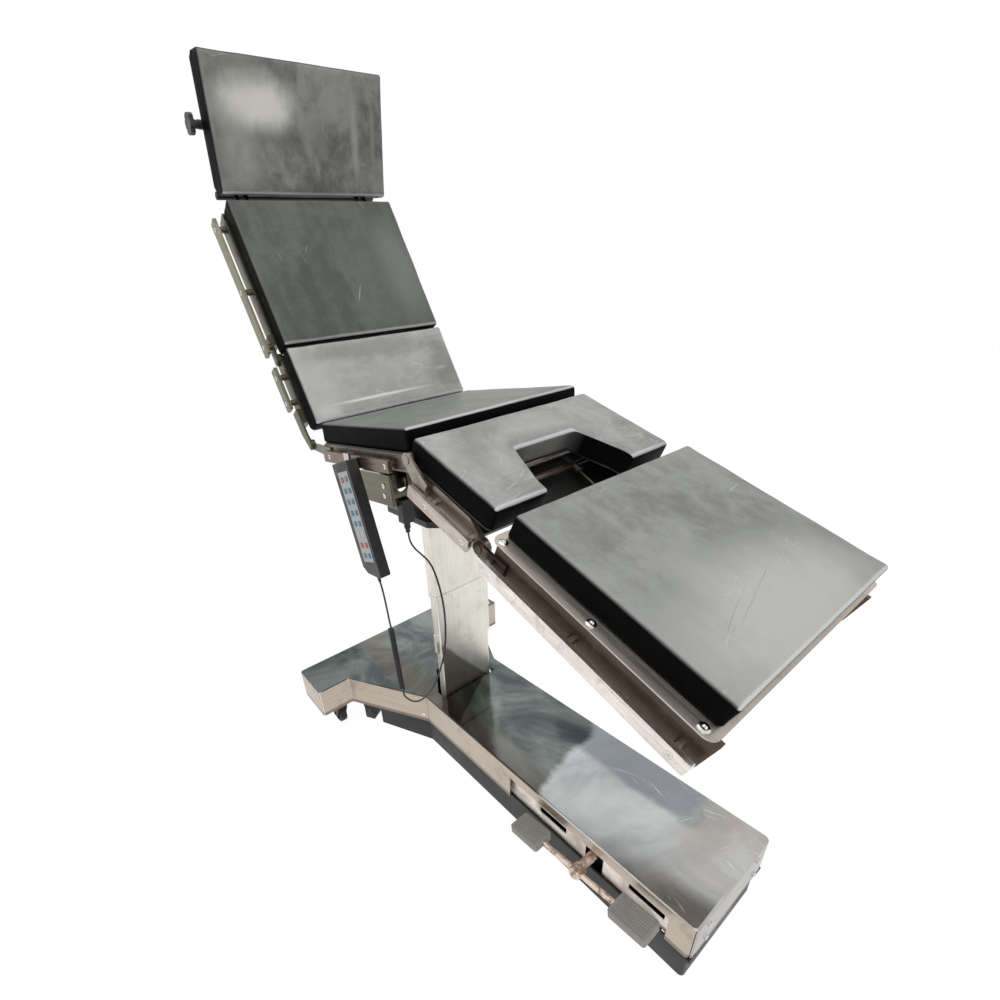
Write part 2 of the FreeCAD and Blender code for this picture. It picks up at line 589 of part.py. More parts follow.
tilt_shaft = rod((TILT_X, -EAR_INNER_Y - EAR_T - 4, TILT_Z), (0, 1, 0), TILT_SHAFT_R,
                 2 * (EAR_INNER_Y + EAR_T + 4))
save("tilt_shaft", tilt_shaft)

# Gimbal block: turns on the tilt shaft, and its two trunnions carry the saddle
block = box(-46, 46, -GIMBAL_HALF_Y, GIMBAL_HALF_Y, -26, 26)
block = block.cut(rod((0, -100, 0), (0, 1, 0), TILT_SHAFT_R + 0.05, 200))
trunnions = [rod((44, 0, 0), (1, 0, 0), TRUNNION_R, SADDLE_HALF_X - 44 + 6),
             rod((-44, 0, 0), (-1, 0, 0), TRUNNION_R, SADDLE_HALF_X - 44 + 6)]
save("gimbal_block", *TABLE.place(fused([block] + trunnions)))

# Saddle: a deep welded ring that hangs on the trunnions, with U-shaped windows in its end wall
outer = box(-SADDLE_HALF_X, SADDLE_HALF_X, -SADDLE_HALF_Y, SADDLE_HALF_Y, -SADDLE_BELOW, SADDLE_ABOVE)
outer = outer.makeFillet(4, upright_edges(outer))
inner = box(-SADDLE_HALF_X + SADDLE_WALL, SADDLE_HALF_X - SADDLE_WALL, -SADDLE_HALF_Y + SADDLE_WALL,
            SADDLE_HALF_Y - SADDLE_WALL, -SADDLE_BELOW - 1, SADDLE_ABOVE + 1)
saddle = outer.cut(inner)
saddle = saddle.cut(rod((-100, 0, 0), (1, 0, 0), TRUNNION_R + 0.05, 200))
for side in (-1, 1):
    window = rod((SADDLE_HALF_X - SADDLE_WALL - 1, side * 166, 8), (1, 0, 0), 17, SADDLE_WALL + 2)
    slot = box(SADDLE_HALF_X - SADDLE_WALL - 1, SADDLE_HALF_X + 1, side * 166 - 17, side * 166 + 17, 8,
               SADDLE_ABOVE + 1)
    saddle = saddle.cut(window).cut(slot)
lug_w1 = TABLE_PAD[2] - PAD_T - DECK_T - 37.0
tie_bars = []
for u in (-SADDLE_HALF_X + 2, SADDLE_HALF_X - 22):
    for side in (-1, 1):
        y0 = min(side * 70, side * 140)
        tie_bars.append(box(u, u + 20, y0, y0 + 70, SADDLE_ABOVE - 12, lug_w1))
save("saddle_ring", *TABLE.place(fused([saddle] + tie_bars)))


# Table top: each section has a frame, a deck, a pad and a pair of accessory rails

def soft_pad(u0, u1, top, half_y=PAD_HALF_Y, thickness=PAD_T):
    pad = box(u0, u1, -half_y, half_y, top - thickness, top)
    pad = pad.makeFillet(PAD_CORNER_R, upright_edges(pad))
    return pad.makeFillet(PAD_EDGE_R, edges_at_z(pad, top))


def deck(u0, u1, low, half_y=PAD_HALF_Y - 2):
    sheet = box(u0, u1, -half_y, half_y, low, low + DECK_T)
    return sheet.makeFillet(PAD_CORNER_R, upright_edges(sheet))


def cross_tube(u, w, half_y=BAR_INNER_Y + 2):
    return rod((u, -half_y, w), (0, 1, 0), CROSS_TUBE_R, 2 * half_y)


def rails(u0, u1, mid_w, studs, on_cheeks=()):
    """Both accessory rails of a section, with countersunk screws and spacers on the side bar or a cheek."""
    bar = box(u0, u1, -RAIL_OUTER_Y, -RAIL_INNER_Y, mid_w - RAIL_H / 2, mid_w + RAIL_H / 2)
    tips = [e for e in bar.Edges if e.BoundBox.ZLength < 1e-6 and e.BoundBox.XLength < 1e-6]
    bar = bar.makeChamfer(2, tips)
    pieces = []
    for u in studs:
        bar = bar.cut(rod((u, -RAIL_OUTER_Y - 1, mid_w), (0, 1, 0), RAIL_SCREW_R, 4))
        pieces.append(rod((u, -RAIL_OUTER_Y + 0.3, mid_w), (0, 1, 0), RAIL_SCREW_R, 2.7))
        seat_y = BAR_OUTER_Y + (CHEEK_T if u in on_cheeks else 0)
        pieces.append(rod((u, -RAIL_INNER_Y, mid_w), (0, 1, 0), SPACER_R, RAIL_INNER_Y - seat_y))
    return both_sides([bar] + pieces)


def side_bar(outline, holes=()):
    bar = prism_y(outline, -BAR_OUTER_Y, -BAR_INNER_Y)
    for u, w, radius in holes:
        bar = bar.cut(rod((u, -BAR_OUTER_Y - 1, w), (0, 1, 0), radius, BAR_T + 2))
    return bar


def eye(u, w, y0, y1, radius=HINGE_EYE_R):
    return rod((u, y0, w), (0, 1, 0), radius, y1 - y0)


def inner_cheek(outline, u, w):
    """A cheek plate next to the side bar, round a pivot, bored for the pin."""
    y0, y1 = -BAR_OUTER_Y - CHEEK_T, -BAR_OUTER_Y
    return fused([prism_y(outline, y0, y1), eye(u, w, y0, y1, HINGE_EYE_R - 4)])


def outer_cheek(outline, u, w):
    y1 = -BAR_OUTER_Y - CHEEK_T - CHEEK_GAP
    y0 = y1 - CHEEK_T
    return fused([prism_y(outline, y0, y1), eye(u, w, y0, y1, HINGE_EYE_R - 4)])


def bored(shape, u, w, radius):
    return shape.cut(rod((u, -RAIL_OUTER_Y, w), (0, 1, 0), radius, RAIL_OUTER_Y - 200))


def hinge_pin(u, w, y_in, y_out):
    """A pin with a domed head outside the cheeks."""
    return fused([rod((u, y_out, w), (0, 1, 0), HINGE_PIN_R, y_in - y_out),
                  rod((u, y_out - 1.8, w), (0, 1, 0), PIN_HEAD_R, 1.8)])


# Middle section, fixed to the saddle
table_low = TABLE_PAD[2] - PAD_T - DECK_T - RUNNING_GAP
table_bar_w0 = table_low - 37.0
rail_mid_w = table_low - 23.0
seat_u, seat_w = TABLE.from_part(*SEAT_PIVOT)
back_u, back_w = TABLE.from_part(*BACK_PIVOT)
outline = [(-128, table_bar_w0), (262, table_bar_w0), (262, table_low), (-128, table_low)]
bar = side_bar(outline)
seat_knuckle = inner_cheek([(219, table_bar_w0 + 4), (seat_u, seat_w - 13.9), (seat_u, seat_w + 8),
                            (219, table_low - 6)], seat_u, seat_w)
seat_knuckle = bored(seat_knuckle, seat_u, seat_w, HINGE_PIN_R + 0.05)
back_knuckle = inner_cheek([(back_u, back_w - 13), (-84, table_bar_w0 + 4), (-84, table_low - 6),
                            (back_u, back_w + 5)], back_u, back_w)
back_knuckle = bored(back_knuckle, back_u, back_w, HINGE_PIN_R + 0.05)
half_frame = fused([bar, seat_knuckle, back_knuckle])
tubes = [cross_tube(-100, table_bar_w0 + 18), cross_tube(240, table_bar_w0 + 18)]
bearers = [box(-SADDLE_HALF_X + 2, -SADDLE_HALF_X + 22, -BAR_INNER_Y - 2, BAR_INNER_Y + 2, lug_w1, table_low),
           box(SADDLE_HALF_X - 22, SADDLE_HALF_X - 2, -BAR_INNER_Y - 2, BAR_INNER_Y + 2, lug_w1, table_low)]
save("table_frame", *TABLE.place(fused([half_frame, mirrored(half_frame)] + tubes + bearers)))
save("table_deck", *TABLE.place(deck(TABLE_PAD[0] + 3, TABLE_PAD[1] - 3, table_low)))
save("table_pad", *TABLE.place(soft_pad(*TABLE_PAD)))
save("table_rails", *TABLE.place(*rails(-90, 224, rail_mid_w, (-58, 72, 209))))

# Seat section with the perineal cut-out
seat_low = SEAT_PAD[2] - PAD_T - DECK_T - RUNNING_GAP
leg_u, leg_w = SEAT.from_part(*LEG_PIVOT)
rail_w = leg_w + 3.0
outline = [(28, rail_w - 20), (leg_u - 12, leg_w - 15), (leg_u, leg_w - HINGE_EYE_R + 1), (leg_u, leg_w + 14),
           (190, seat_low - 2), (28, seat_low)]
bar = fused([side_bar(outline), eye(leg_u, leg_w, -BAR_OUTER_Y, -BAR_INNER_Y)])
bar = bored(bar, leg_u, leg_w, HINGE_PIN_R + 0.05)
lug = outer_cheek([(0, -13.5), (64, rail_w - 8), (74, seat_low - 3), (6, 12.5)], 0, 0)
lug_block = prism_y([(30, seat_low - 8), (40, rail_w - 4), (64, rail_w - 4), (70, seat_low - 8)],
                    -BAR_OUTER_Y - CHEEK_T - CHEEK_GAP, -BAR_OUTER_Y)
pin = hinge_pin(0, 0, -BAR_OUTER_Y, -BLOCK_OUTER_Y)
half_frame = fused([bar, lug_block, fused([lug, pin])])
tubes = [cross_tube(52, seat_low - 14), cross_tube(SEAT_PAD[1] - CUT_DEPTH - 16, seat_low - 14)]
save("seat_frame", *SEAT.place(fused([half_frame, mirrored(half_frame)] + tubes)))


def cutout(grow, z0, z1):
    mouth, inner_half = CUT_MOUTH_HALF_Y + grow, CUT_INNER_HALF_Y + grow
    edge = SEAT_PAD[1]
    deep = edge - CUT_DEPTH - grow
    slant = CUT_DEPTH * 0.72
    return prism_z([(edge + 5, -mouth), (edge - CUT_DEPTH + slant, -mouth + 6),
                    (deep, -inner_half), (deep, inner_half),
                    (edge - CUT_DEPTH + slant, mouth - 6), (edge + 5, mouth)], z0, z1)


seat_deck = deck(SEAT_PAD[0] + 3, SEAT_PAD[1] - 3, seat_low).cut(cutout(2, seat_low - 5, seat_low + 10))
save("seat_deck", *SEAT.place(seat_deck))
seat_pad = box(SEAT_PAD[0], SEAT_PAD[1], -PAD_HALF_Y, PAD_HALF_Y, SEAT_PAD[2] - PAD_T, SEAT_PAD[2])
seat_pad = seat_pad.cut(cutout(0, SEAT_PAD[2] - PAD_T - 1, SEAT_PAD[2] + 1))
seat_pad = seat_pad.makeFillet(PAD_CORNER_R, upright_edges(seat_pad))
seat_pad = seat_pad.makeFillet(PAD_EDGE_R, edges_at_z(seat_pad, SEAT_PAD[2]))
save("seat_pad", *SEAT.place(seat_pad))
save("seat_rails", *SEAT.place(*rails(32, leg_u - 10, rail_w, (90, 206))))

# Leg section on a raised plate
leg_low = LEG_PAD[2] - PAD_T - DECK_T - RUNNING_GAP
leg_bar_end = LEG_PAD[1] + 14
outline = [(34, -18), (leg_bar_end, -18), (leg_bar_end, 44), (34, 44)]
bar = side_bar(outline)
leg_cheek = inner_cheek([(0, -13), (70, -14), (70, 16), (0, 13)], 0, 0)
pin = hinge_pin(0, 0, -BAR_INNER_Y, -BAR_OUTER_Y - CHEEK_T)
half_frame = fused([bar, leg_cheek, pin])
posts = [rod((u, -BAR_INNER_Y - 6, 42), (0, 0, 1), 5.5, leg_low - 42) for u in (60, 240, 436)]
tubes = [cross_tube(60, 10), cross_tube(440, 10)]
leg_bars = [half_frame, mirrored(half_frame)] + posts + [mirrored(p) for p in posts] + tubes
save("leg_frame", *LEG.place(fused(leg_bars)))
leg_plate = box(LEG_PAD[0] - 8, LEG_PAD[1] + 6, -RAIL_OUTER_Y + 1, RAIL_OUTER_Y - 1,
                leg_low, leg_low + DECK_T)
leg_plate = leg_plate.makeFillet(18, upright_edges(leg_plate))
save("leg_plate", *LEG.place(leg_plate))
save("leg_pad", *LEG.place(soft_pad(*LEG_PAD)))
save("leg_rails", *LEG.place(*rails(16, 461, -9.0, (31, 229, 432), (31,))))

# Lower back section, on curved hinge arms
back_low = LOWER_PAD[2] - PAD_T - DECK_T - RUNNING_GAP
bar_low_w = -34.0
outline = [(-240, bar_low_w + 4), (-62, bar_low_w), (-62, back_low), (-240, back_low)]
bar = side_bar(outline)
bar = fused([bar, eye(UPPER_PIVOT_U, UPPER_PIVOT_W, -BAR_OUTER_Y, -BAR_INNER_Y)])
bar = bored(bar, UPPER_PIVOT_U, UPPER_PIVOT_W, HINGE_PIN_R + 0.05)
arm = outer_cheek([(-104, -31), (-40, -27), (0, -13.8), (6, 12.5), (-30, 3), (-104, 2)], 0, 0)
arm_block = prism_y([(-104, -31), (-62, -29), (-62, 2), (-104, 2)],
                    -BAR_OUTER_Y - CHEEK_T - CHEEK_GAP, -BAR_OUTER_Y)
pin = hinge_pin(0, 0, -BAR_OUTER_Y, -BLOCK_OUTER_Y)
half_frame = fused([bar, arm_block, arm, pin])
tubes = [cross_tube(-84, -12), cross_tube(-212, -12)]
save("lower_back_frame", *BACK.place(fused([half_frame, mirrored(half_frame)] + tubes)))
save("lower_back_deck", *BACK.place(deck(LOWER_PAD[0] + 3, LOWER_PAD[1] - 3, back_low)))
save("lower_back_pad", *BACK.place(soft_pad(*LOWER_PAD)))
save("lower_back_rails", *BACK.place(*rails(-232, -112, -20.0, (-206, -132))))

# Upper back section
outline = [(-660, bar_low_w + 4), (-286, bar_low_w + 4), (-286, back_low), (-660, back_low)]
bar = side_bar(outline)
upper_cheek = inner_cheek([(-320, UPPER_PIVOT_W - 13), (UPPER_PIVOT_U, UPPER_PIVOT_W - 13),
                           (UPPER_PIVOT_U, UPPER_PIVOT_W + 13), (-320, UPPER_PIVOT_W + 13)],
                          UPPER_PIVOT_U, UPPER_PIVOT_W)
pin = hinge_pin(UPPER_PIVOT_U, UPPER_PIVOT_W, -BAR_INNER_Y, -BAR_OUTER_Y - CHEEK_T)
half_frame = fused([bar, upper_cheek, pin])
tubes = [cross_tube(-310, -12), cross_tube(-480, -12), cross_tube(-640, -12)]
upper_frame = fused([half_frame, mirrored(half_frame)] + tubes)
for side in (-1, 1):
    ear = prism_y([(UPPER_PAD[0] + 1, -20), (UPPER_PAD[0] + 13, 4),
                   (HEAD_PIVOT_U, HEAD_PIVOT_W + 11), (HEAD_PIVOT_U, HEAD_PIVOT_W - 11)],
                  side * HEAD_POST_Y - 8, side * HEAD_POST_Y + 8)
    ear = ear.fuse(rod((HEAD_PIVOT_U, side * HEAD_POST_Y - 8, HEAD_PIVOT_W), (0, 1, 0), 11, 16))
    ear = ear.cut(rod((HEAD_PIVOT_U, side * HEAD_POST_Y - 9, HEAD_PIVOT_W), (0, 1, 0), 6.05, 18))
    upper_frame = upper_frame.fuse(ear)
save("upper_back_frame", *BACK.place(upper_frame))
save("upper_back_deck", *BACK.place(deck(UPPER_PAD[0] + 3, UPPER_PAD[1] - 3, back_low)))
save("upper_back_pad", *BACK.place(soft_pad(*UPPER_PAD)))
save("upper_back_rails", *BACK.place(*rails(-660, -272, -20.0, (-636, -455, -296), (-296,))))

# Head section: a plate on two pivot blocks, clamped by a side knob
head_low = HEAD_PAD_TOP - HEAD_PAD_T - DECK_T - RUNNING_GAP
head_pieces = []
for side in (-1, 1):
    for cheek in (-1, 1):
        y = side * HEAD_POST_Y + cheek * 13.0
        fork = prism_y([(-60, head_low - 14), (0, -10), (8, 0), (0, 10), (-14, 6), (-26, head_low)],
                       y - 4.5, y + 4.5)
        head_pieces.append(fork)
    head_pieces.append(rod((0, side * HEAD_POST_Y - 18, 0), (0, 1, 0), 6, 36))
    y = side * HEAD_POST_Y
    head_pieces.append(box(HEAD_PAD_U[0] + 34, HEAD_PAD_U[1] - 10, y - 12, y + 12, head_low - 14, head_low))
head_pieces.append(rod((KNOB_U, -CLAMP_ROD_HALF_Y, head_low - 10.5), (0, 1, 0), 10, 2 * CLAMP_ROD_HALF_Y))
head_frame = fused(head_pieces)
knob_w = head_low - 10.5
head_frame = head_frame.cut(rod((KNOB_U, -CLAMP_ROD_HALF_Y - 1, knob_w), (0, 1, 0), 4.05, 30))
save("head_frame", *HEAD.place(head_frame))
head_plate = deck(HEAD_PAD_U[0] + 3, HEAD_PAD_U[1] - 3, head_low, HEAD_PAD_HALF_Y - 2)
save("head_deck", *HEAD.place(head_plate))
head_pad = soft_pad(HEAD_PAD_U[0], HEAD_PAD_U[1], HEAD_PAD_TOP, HEAD_PAD_HALF_Y, HEAD_PAD_T)
save("head_pad", *HEAD.place(head_pad))
knob_stem = rod((KNOB_U, -CLAMP_ROD_HALF_Y + 24, knob_w), (0, -1, 0), 4, KNOB_INNER_Y - CLAMP_ROD_HALF_Y + 24)
knob_grip = rod((KNOB_U, -KNOB_INNER_Y, knob_w), (0, -1, 0), KNOB_R, KNOB_T)
for lobe in range(6):
    turn = math.radians(60 * lobe)
    notch_u = KNOB_U + (KNOB_R + 3) * math.cos(turn)
    notch_w = knob_w + (KNOB_R + 3) * math.sin(turn)
    knob_grip = knob_grip.cut(rod((notch_u, -KNOB_INNER_Y + 1, notch_w), (0, -1, 0), 6, KNOB_T + 2))
knob_neck = rod((KNOB_U, -CLAMP_ROD_HALF_Y - 1, knob_w), (0, -1, 0), 9, KNOB_INNER_Y - CLAMP_ROD_HALF_Y)
save("head_knob", *HEAD.place(fused([knob_stem, knob_neck, knob_grip])))

# Hand control, hung on the near rail by a sheet hook
handset_frame = Section(HANDSET_TOP, HANDSET_LEAN)
half_w = HANDSET_WIDTH / 2
front_y = HANDSET_BACK_Y - HANDSET_T
body = prism_y([(-half_w, 0), (half_w, 0), (half_w, -HANDSET_LENGTH + 4), (half_w - 6, -HANDSET_LENGTH),
                (-half_w + 17, -HANDSET_LENGTH + 11), (-half_w, -HANDSET_LENGTH + 28)],
                front_y, HANDSET_BACK_Y)
body = body.makeFillet(3, [e for e in body.Edges if e.BoundBox.YLength > HANDSET_T - 1])
keypad = box(-half_w + 20, half_w - 10, front_y - KEYPAD_T, front_y, -HANDSET_LENGTH + 42, -22)
save("handset_body", *handset_frame.place(body))
save("handset_keypad", *handset_frame.place(keypad))
hook_u = TABLE.from_part(*HANDSET_TOP)[0] - HOOK_WIDTH
hook_top_w = rail_mid_w + RAIL_H / 2 + RUNNING_GAP
hook_inner_y = -RAIL_INNER_Y + RUNNING_GAP
hook_right_u = hook_u + HOOK_WIDTH
hook = fused([
    box(hook_u, hook_right_u, HANDSET_BACK_Y, HANDSET_BACK_Y + HOOK_T, rail_mid_w - 46, hook_top_w + HOOK_T),
    box(hook_u, hook_right_u, HANDSET_BACK_Y, hook_inner_y + HOOK_T, hook_top_w, hook_top_w + HOOK_T),
    box(hook_u, hook_right_u, hook_inner_y, hook_inner_y + HOOK_T, hook_top_w - 14, hook_top_w + HOOK_T),
])
save("handset_hook", *TABLE.place(hook))


# Cord of the hand control: a short lead, a curly stretch and a loop up to the socket under the saddle

def cord_tube(points, radius):
    """A tube along straight runs joined by tangent arcs, each as large as its two runs allow."""
    stations = [Vector(*p) for p in points]
    edges = []
    start = stations[0]
    for before, corner, after in zip(stations, stations[1:], stations[2:]):
        come, go = corner - before, after - corner
        shorter = min(come.Length, go.Length)
        turn = come.getAngle(go)
        setback = 0.45 * shorter
        arc_radius = setback / math.tan(turn / 2)
        come_dir, go_dir = come.normalize(), go.normalize()
        first = corner - come_dir * setback
        last = corner + go_dir * setback
        inward = (go_dir - come_dir).normalize()
        centre = corner + inward * (arc_radius / math.cos(turn / 2))
        middle = centre + (corner - centre).normalize() * arc_radius
        edges.append(Part.LineSegment(start, first).toShape())
        edges.append(Part.Arc(first, middle, last).toShape())
        print(f"cord bend radius {arc_radius:.0f} mm, turn {math.degrees(turn):.0f} degrees")
        start = last
    edges.append(Part.LineSegment(start, stations[-1]).toShape())
    path = Part.Wire(edges)
    heading = (stations[1] - stations[0]).normalize()
    ring = Part.Wire(Part.Circle(stations[0], heading, radius).toShape())
    swept = path.makePipeShell([ring], True, False)
    print(f"cord stretch {path.Length:.0f} mm long, volume {swept.Volume:.0f}, "
          f"section times length {math.pi * radius * radius * path.Length:.0f}")
    return swept


cord_y = HANDSET_BACK_Y - HANDSET_T / 2
RELIEF_LENGTH = 16.0
relief = Part.makeCone(5.0, 3.2, RELIEF_LENGTH, Vector(0, 0, 0), Vector(0, 0, -1))
relief.translate(Vector(0, cord_y, -HANDSET_LENGTH))
save("handset_relief", *handset_frame.place(relief))
lead_start = handset_frame.to_part(0, -HANDSET_LENGTH - RELIEF_LENGTH)
COIL_TOP = (-33.0, -305.0, 614.0)
COIL_BOTTOM = (-30.0, -300.0, 408.0)
lead = [(lead_start[0], cord_y, lead_start[1]), (-49.1, -302.0, 715.0), (-40.0, -304.4, 682.0),
        (-33.5, -305.8, 648.0), COIL_TOP]
save("cord_lead", cord_tube(lead, CORD_R))
coil = rod(COIL_TOP, tuple(b - a for a, b in zip(COIL_TOP, COIL_BOTTOM)), COIL_R,
           math.dist(COIL_TOP, COIL_BOTTOM))
save("cord_coil", coil)
loop = [COIL_BOTTOM, (-29.6, -299.4, 382.0), (-6.0, -294.0, 374.0), (26.0, -291.0, 392.0),
        (58.0, -286.0, 425.0),
        (92.0, -280.0, 478.0), (118.0, -272.0, 540.0), (132.0, -261.0, 603.0), (128.0, -248.0, 664.0),
        (104.0, -231.0, 714.0), (62.0, -211.0, 750.0), (8.0, -189.0, 770.0), (-46.0, -177.0, 771.0),
        (-86.0, -171.0, 773.0), (SOCKET_X, SOCKET_Y, 788.0), (SOCKET_X, SOCKET_Y, SOCKET_BOTTOM_Z - 30.0)]
save("cord_loop", cord_tube(loop, CORD_R))
plug = fused([rod((SOCKET_X, SOCKET_Y, SOCKET_BOTTOM_Z - 30), (0, 0, 1), 6.0, 14),
              rod((SOCKET_X, SOCKET_Y, SOCKET_BOTTOM_Z - 18), (0, 0, 1), 8.5, 18)])
save("cord_plug", plug)
socket = box(SOCKET_X - SOCKET_HALF, SOCKET_X + SOCKET_HALF, SOCKET_Y - SOCKET_HALF, SOCKET_Y + SOCKET_HALF,
             SOCKET_BOTTOM_Z, TILT_Z - 20)
socket = socket.makeFillet(4, upright_edges(socket))
saddle_block = TABLE.place(box(-SADDLE_HALF_X, SADDLE_HALF_X, -SADDLE_HALF_Y, SADDLE_HALF_Y,
                               -SADDLE_BELOW, 60))[0]
save("cord_socket", socket.cut(saddle_block))
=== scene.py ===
import math

import bmesh
import bpy
from mathutils import Matrix, Vector


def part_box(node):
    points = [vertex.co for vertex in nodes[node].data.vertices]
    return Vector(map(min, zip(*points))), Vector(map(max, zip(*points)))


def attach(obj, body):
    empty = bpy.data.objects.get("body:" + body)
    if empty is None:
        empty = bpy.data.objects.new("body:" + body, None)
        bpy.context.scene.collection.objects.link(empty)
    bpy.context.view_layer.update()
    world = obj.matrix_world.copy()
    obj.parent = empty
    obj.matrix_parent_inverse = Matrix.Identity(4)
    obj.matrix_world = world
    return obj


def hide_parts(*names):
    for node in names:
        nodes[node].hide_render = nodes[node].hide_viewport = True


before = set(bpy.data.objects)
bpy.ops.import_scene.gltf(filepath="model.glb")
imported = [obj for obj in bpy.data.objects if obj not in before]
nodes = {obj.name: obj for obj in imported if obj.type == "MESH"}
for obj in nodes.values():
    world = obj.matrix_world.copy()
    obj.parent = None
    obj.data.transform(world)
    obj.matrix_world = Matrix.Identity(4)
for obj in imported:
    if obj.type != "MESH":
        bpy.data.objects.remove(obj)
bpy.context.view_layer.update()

# Camera at the photographer's place: beyond the foot end, to the near side, at a standing person's eye
# level, looking down along the table with the horizon tipped a little.
CAMERA_PLACE = (0.8842, -0.7946, 1.3070)
CAMERA_TURN = (58.14, 27.68, -7.1)
yaw, pitch, roll = [math.radians(angle) for angle in CAMERA_TURN]
forward = Vector((-math.sin(yaw) * math.cos(pitch), math.cos(yaw) * math.cos(pitch), -math.sin(pitch)))
level = forward.cross(Vector((0, 0, 1))).normalized()
raised = level.cross(forward)
right = math.cos(roll) * level + math.sin(roll) * raised
above = math.cos(roll) * raised - math.sin(roll) * level
lens = bpy.data.cameras.new("camera")
lens.sensor_width = 36
lens.lens = 17.465
lens.shift_x = 0.0892
lens.shift_y = 0.0732
lens.clip_start = 0.05
camera = bpy.data.objects.new("camera", lens)
bpy.context.scene.collection.objects.link(camera)
camera.matrix_world = Matrix.Translation(CAMERA_PLACE) @ Matrix((
    (right.x, above.x, -forward.x), (right.y, above.y, -forward.y), (right.z, above.z, -forward.z))).to_4x4()
bpy.context.scene.camera = camera


# Black cord of the hand control: it drops from the strain relief, winds into a curly stretch that hangs by
# its own weight, and swings round the column in a loose loop up to its plug under the saddle.
CLOUD_LOW, CLOUD_HIGH = 0.3, 0.7


class Link:
    """A socket of a finish, with sums written as they are on paper."""

    def __init__(self, finish, socket):
        self.finish, self.socket = finish, socket

    def sum(self, kind, first, second):
        return self.finish.node("ShaderNodeMath", {"operation": kind}, {0: first, 1: second})

    def __add__(self, other):
        return self.sum("ADD", self, other)

    def __radd__(self, other):
        return self.sum("ADD", other, self)

    def __sub__(self, other):
        return self.sum("SUBTRACT", self, other)

    def __rsub__(self, other):
        return self.sum("SUBTRACT", other, self)

    def __mul__(self, other):
        return self.sum("MULTIPLY", self, other)

    def __rmul__(self, other):
        return self.sum("MULTIPLY", other, self)


class Finish:
    """A material built from nodes: one method adds any node, the others are the few that finishes share."""

    def __init__(self, name):
        self.material = bpy.data.materials.new(name)
        self.material.use_nodes = True
        self.tree = self.material.node_tree
        self.shader = self.tree.nodes["Principled BSDF"]
        self.place = self.node("ShaderNodeTexCoord", {}, {}, "Object")

    def node(self, kind, settings, sockets, out=0):
        made = self.tree.nodes.new(kind)
        for name, value in settings.items():
            setattr(made, name, value)
        for name, value in sockets.items():
            self.feed(made.inputs[name], value)
        return Link(self, made.outputs[out])

    def feed(self, socket, value):
        if isinstance(value, Link):
            self.tree.links.new(value.socket, socket)
        else:
            socket.default_value = value

    def noise(self, scale, detail=4.0, rough=0.5, where=None, distort=0.0):
        sockets = {"Vector": where or self.place, "Scale": scale, "Detail": detail, "Roughness": rough,
                   "Distortion": distort}
        return self.node("ShaderNodeTexNoise", {}, sockets, "Fac")

    def turned(self, pivot=(0, 0, 0), angle=0.0, scale=(1, 1, 1), spin=0.0):
        """Object coordinates seen from a pivot, turned about Y and then Z, and stretched."""
        turn = (0, math.radians(angle), math.radians(spin))
        seen = self.node("ShaderNodeMapping", {"vector_type": "TEXTURE"},
                         {"Vector": self.place, "Location": pivot, "Rotation": turn})
        return self.node("ShaderNodeMapping", {}, {"Vector": seen, "Scale": scale})

    def axis(self, where, letter):
        return self.node("ShaderNodeSeparateXYZ", {}, {0: where}, letter)

    def step(self, value, low, high, at_low=0.0, at_high=1.0):
        """A smooth change from one value to another between two limits."""
        limits = {"Value": value, "From Min": low, "From Max": high, "To Min": at_low, "To Max": at_high}
        return self.node("ShaderNodeMapRange", {"interpolation_type": "SMOOTHSTEP"}, limits)

    def sway(self, value, at_low=0.0, at_high=1.0):
        """A smooth change over the middle of a cloudy pattern, where most of its values lie."""
        return self.step(value, CLOUD_LOW, CLOUD_HIGH, at_low, at_high)

    def hairline(self, value, width):
        """Thin curving lines, where a cloudy pattern crosses its middle value."""
        away = self.node("ShaderNodeMath", {"operation": "ABSOLUTE"}, {0: value - 0.5})
        return self.step(away, 0.0, width, 1.0, 0.0)

    def patch(self, pivot, angle, spread, ragged, firm=0.25):
        """A soft-edged patch round a place, as wide along each axis as spread says."""
        where = self.turned(pivot, angle, [1.0 / max(s, 1e-6) if s else 0.0 for s in spread])
        far = self.node("ShaderNodeVectorMath", {"operation": "LENGTH"}, {0: where}, 1)
        return self.step(far + (ragged - 0.5) * 1.2, firm, 1.0, 1.0, 0.0)

    def mix(self, share, first, second):
        sockets = {0: share, 6: tint(first), 7: tint(second)}
        return self.node("ShaderNodeMix", {"data_type": "RGBA"}, sockets, 2)

    def bump(self, height, depth, under=None):
        sockets = {"Height": height, "Strength": 1.0, "Distance": depth}
        if under is not None:
            sockets["Normal"] = under
        return self.node("ShaderNodeBump", {}, sockets)

    def set(self, **sockets):
        for name, value in sockets.items():
            socket = self.shader.inputs[name.replace("_", " ")]
            self.feed(socket, tint(value) if name.endswith("Color") else value)
        return self.material


def colour(tone):
    if isinstance(tone, (int, float)):
        tone = (tone, tone, tone)
    return (*tone, 1.0)


def tint(value):
    return value if isinstance(value, Link) else colour(value)


def cord_black():
    finish = Finish("cord_black")
    worn = finish.noise(60.0, 5.0)
    return finish.set(Base_Color=finish.mix(worn, 0.012, 0.035), Roughness=finish.sway(worn, 0.38, 0.6),
                      Normal=finish.bump(finish.noise(900.0, 2.0), 0.0002))


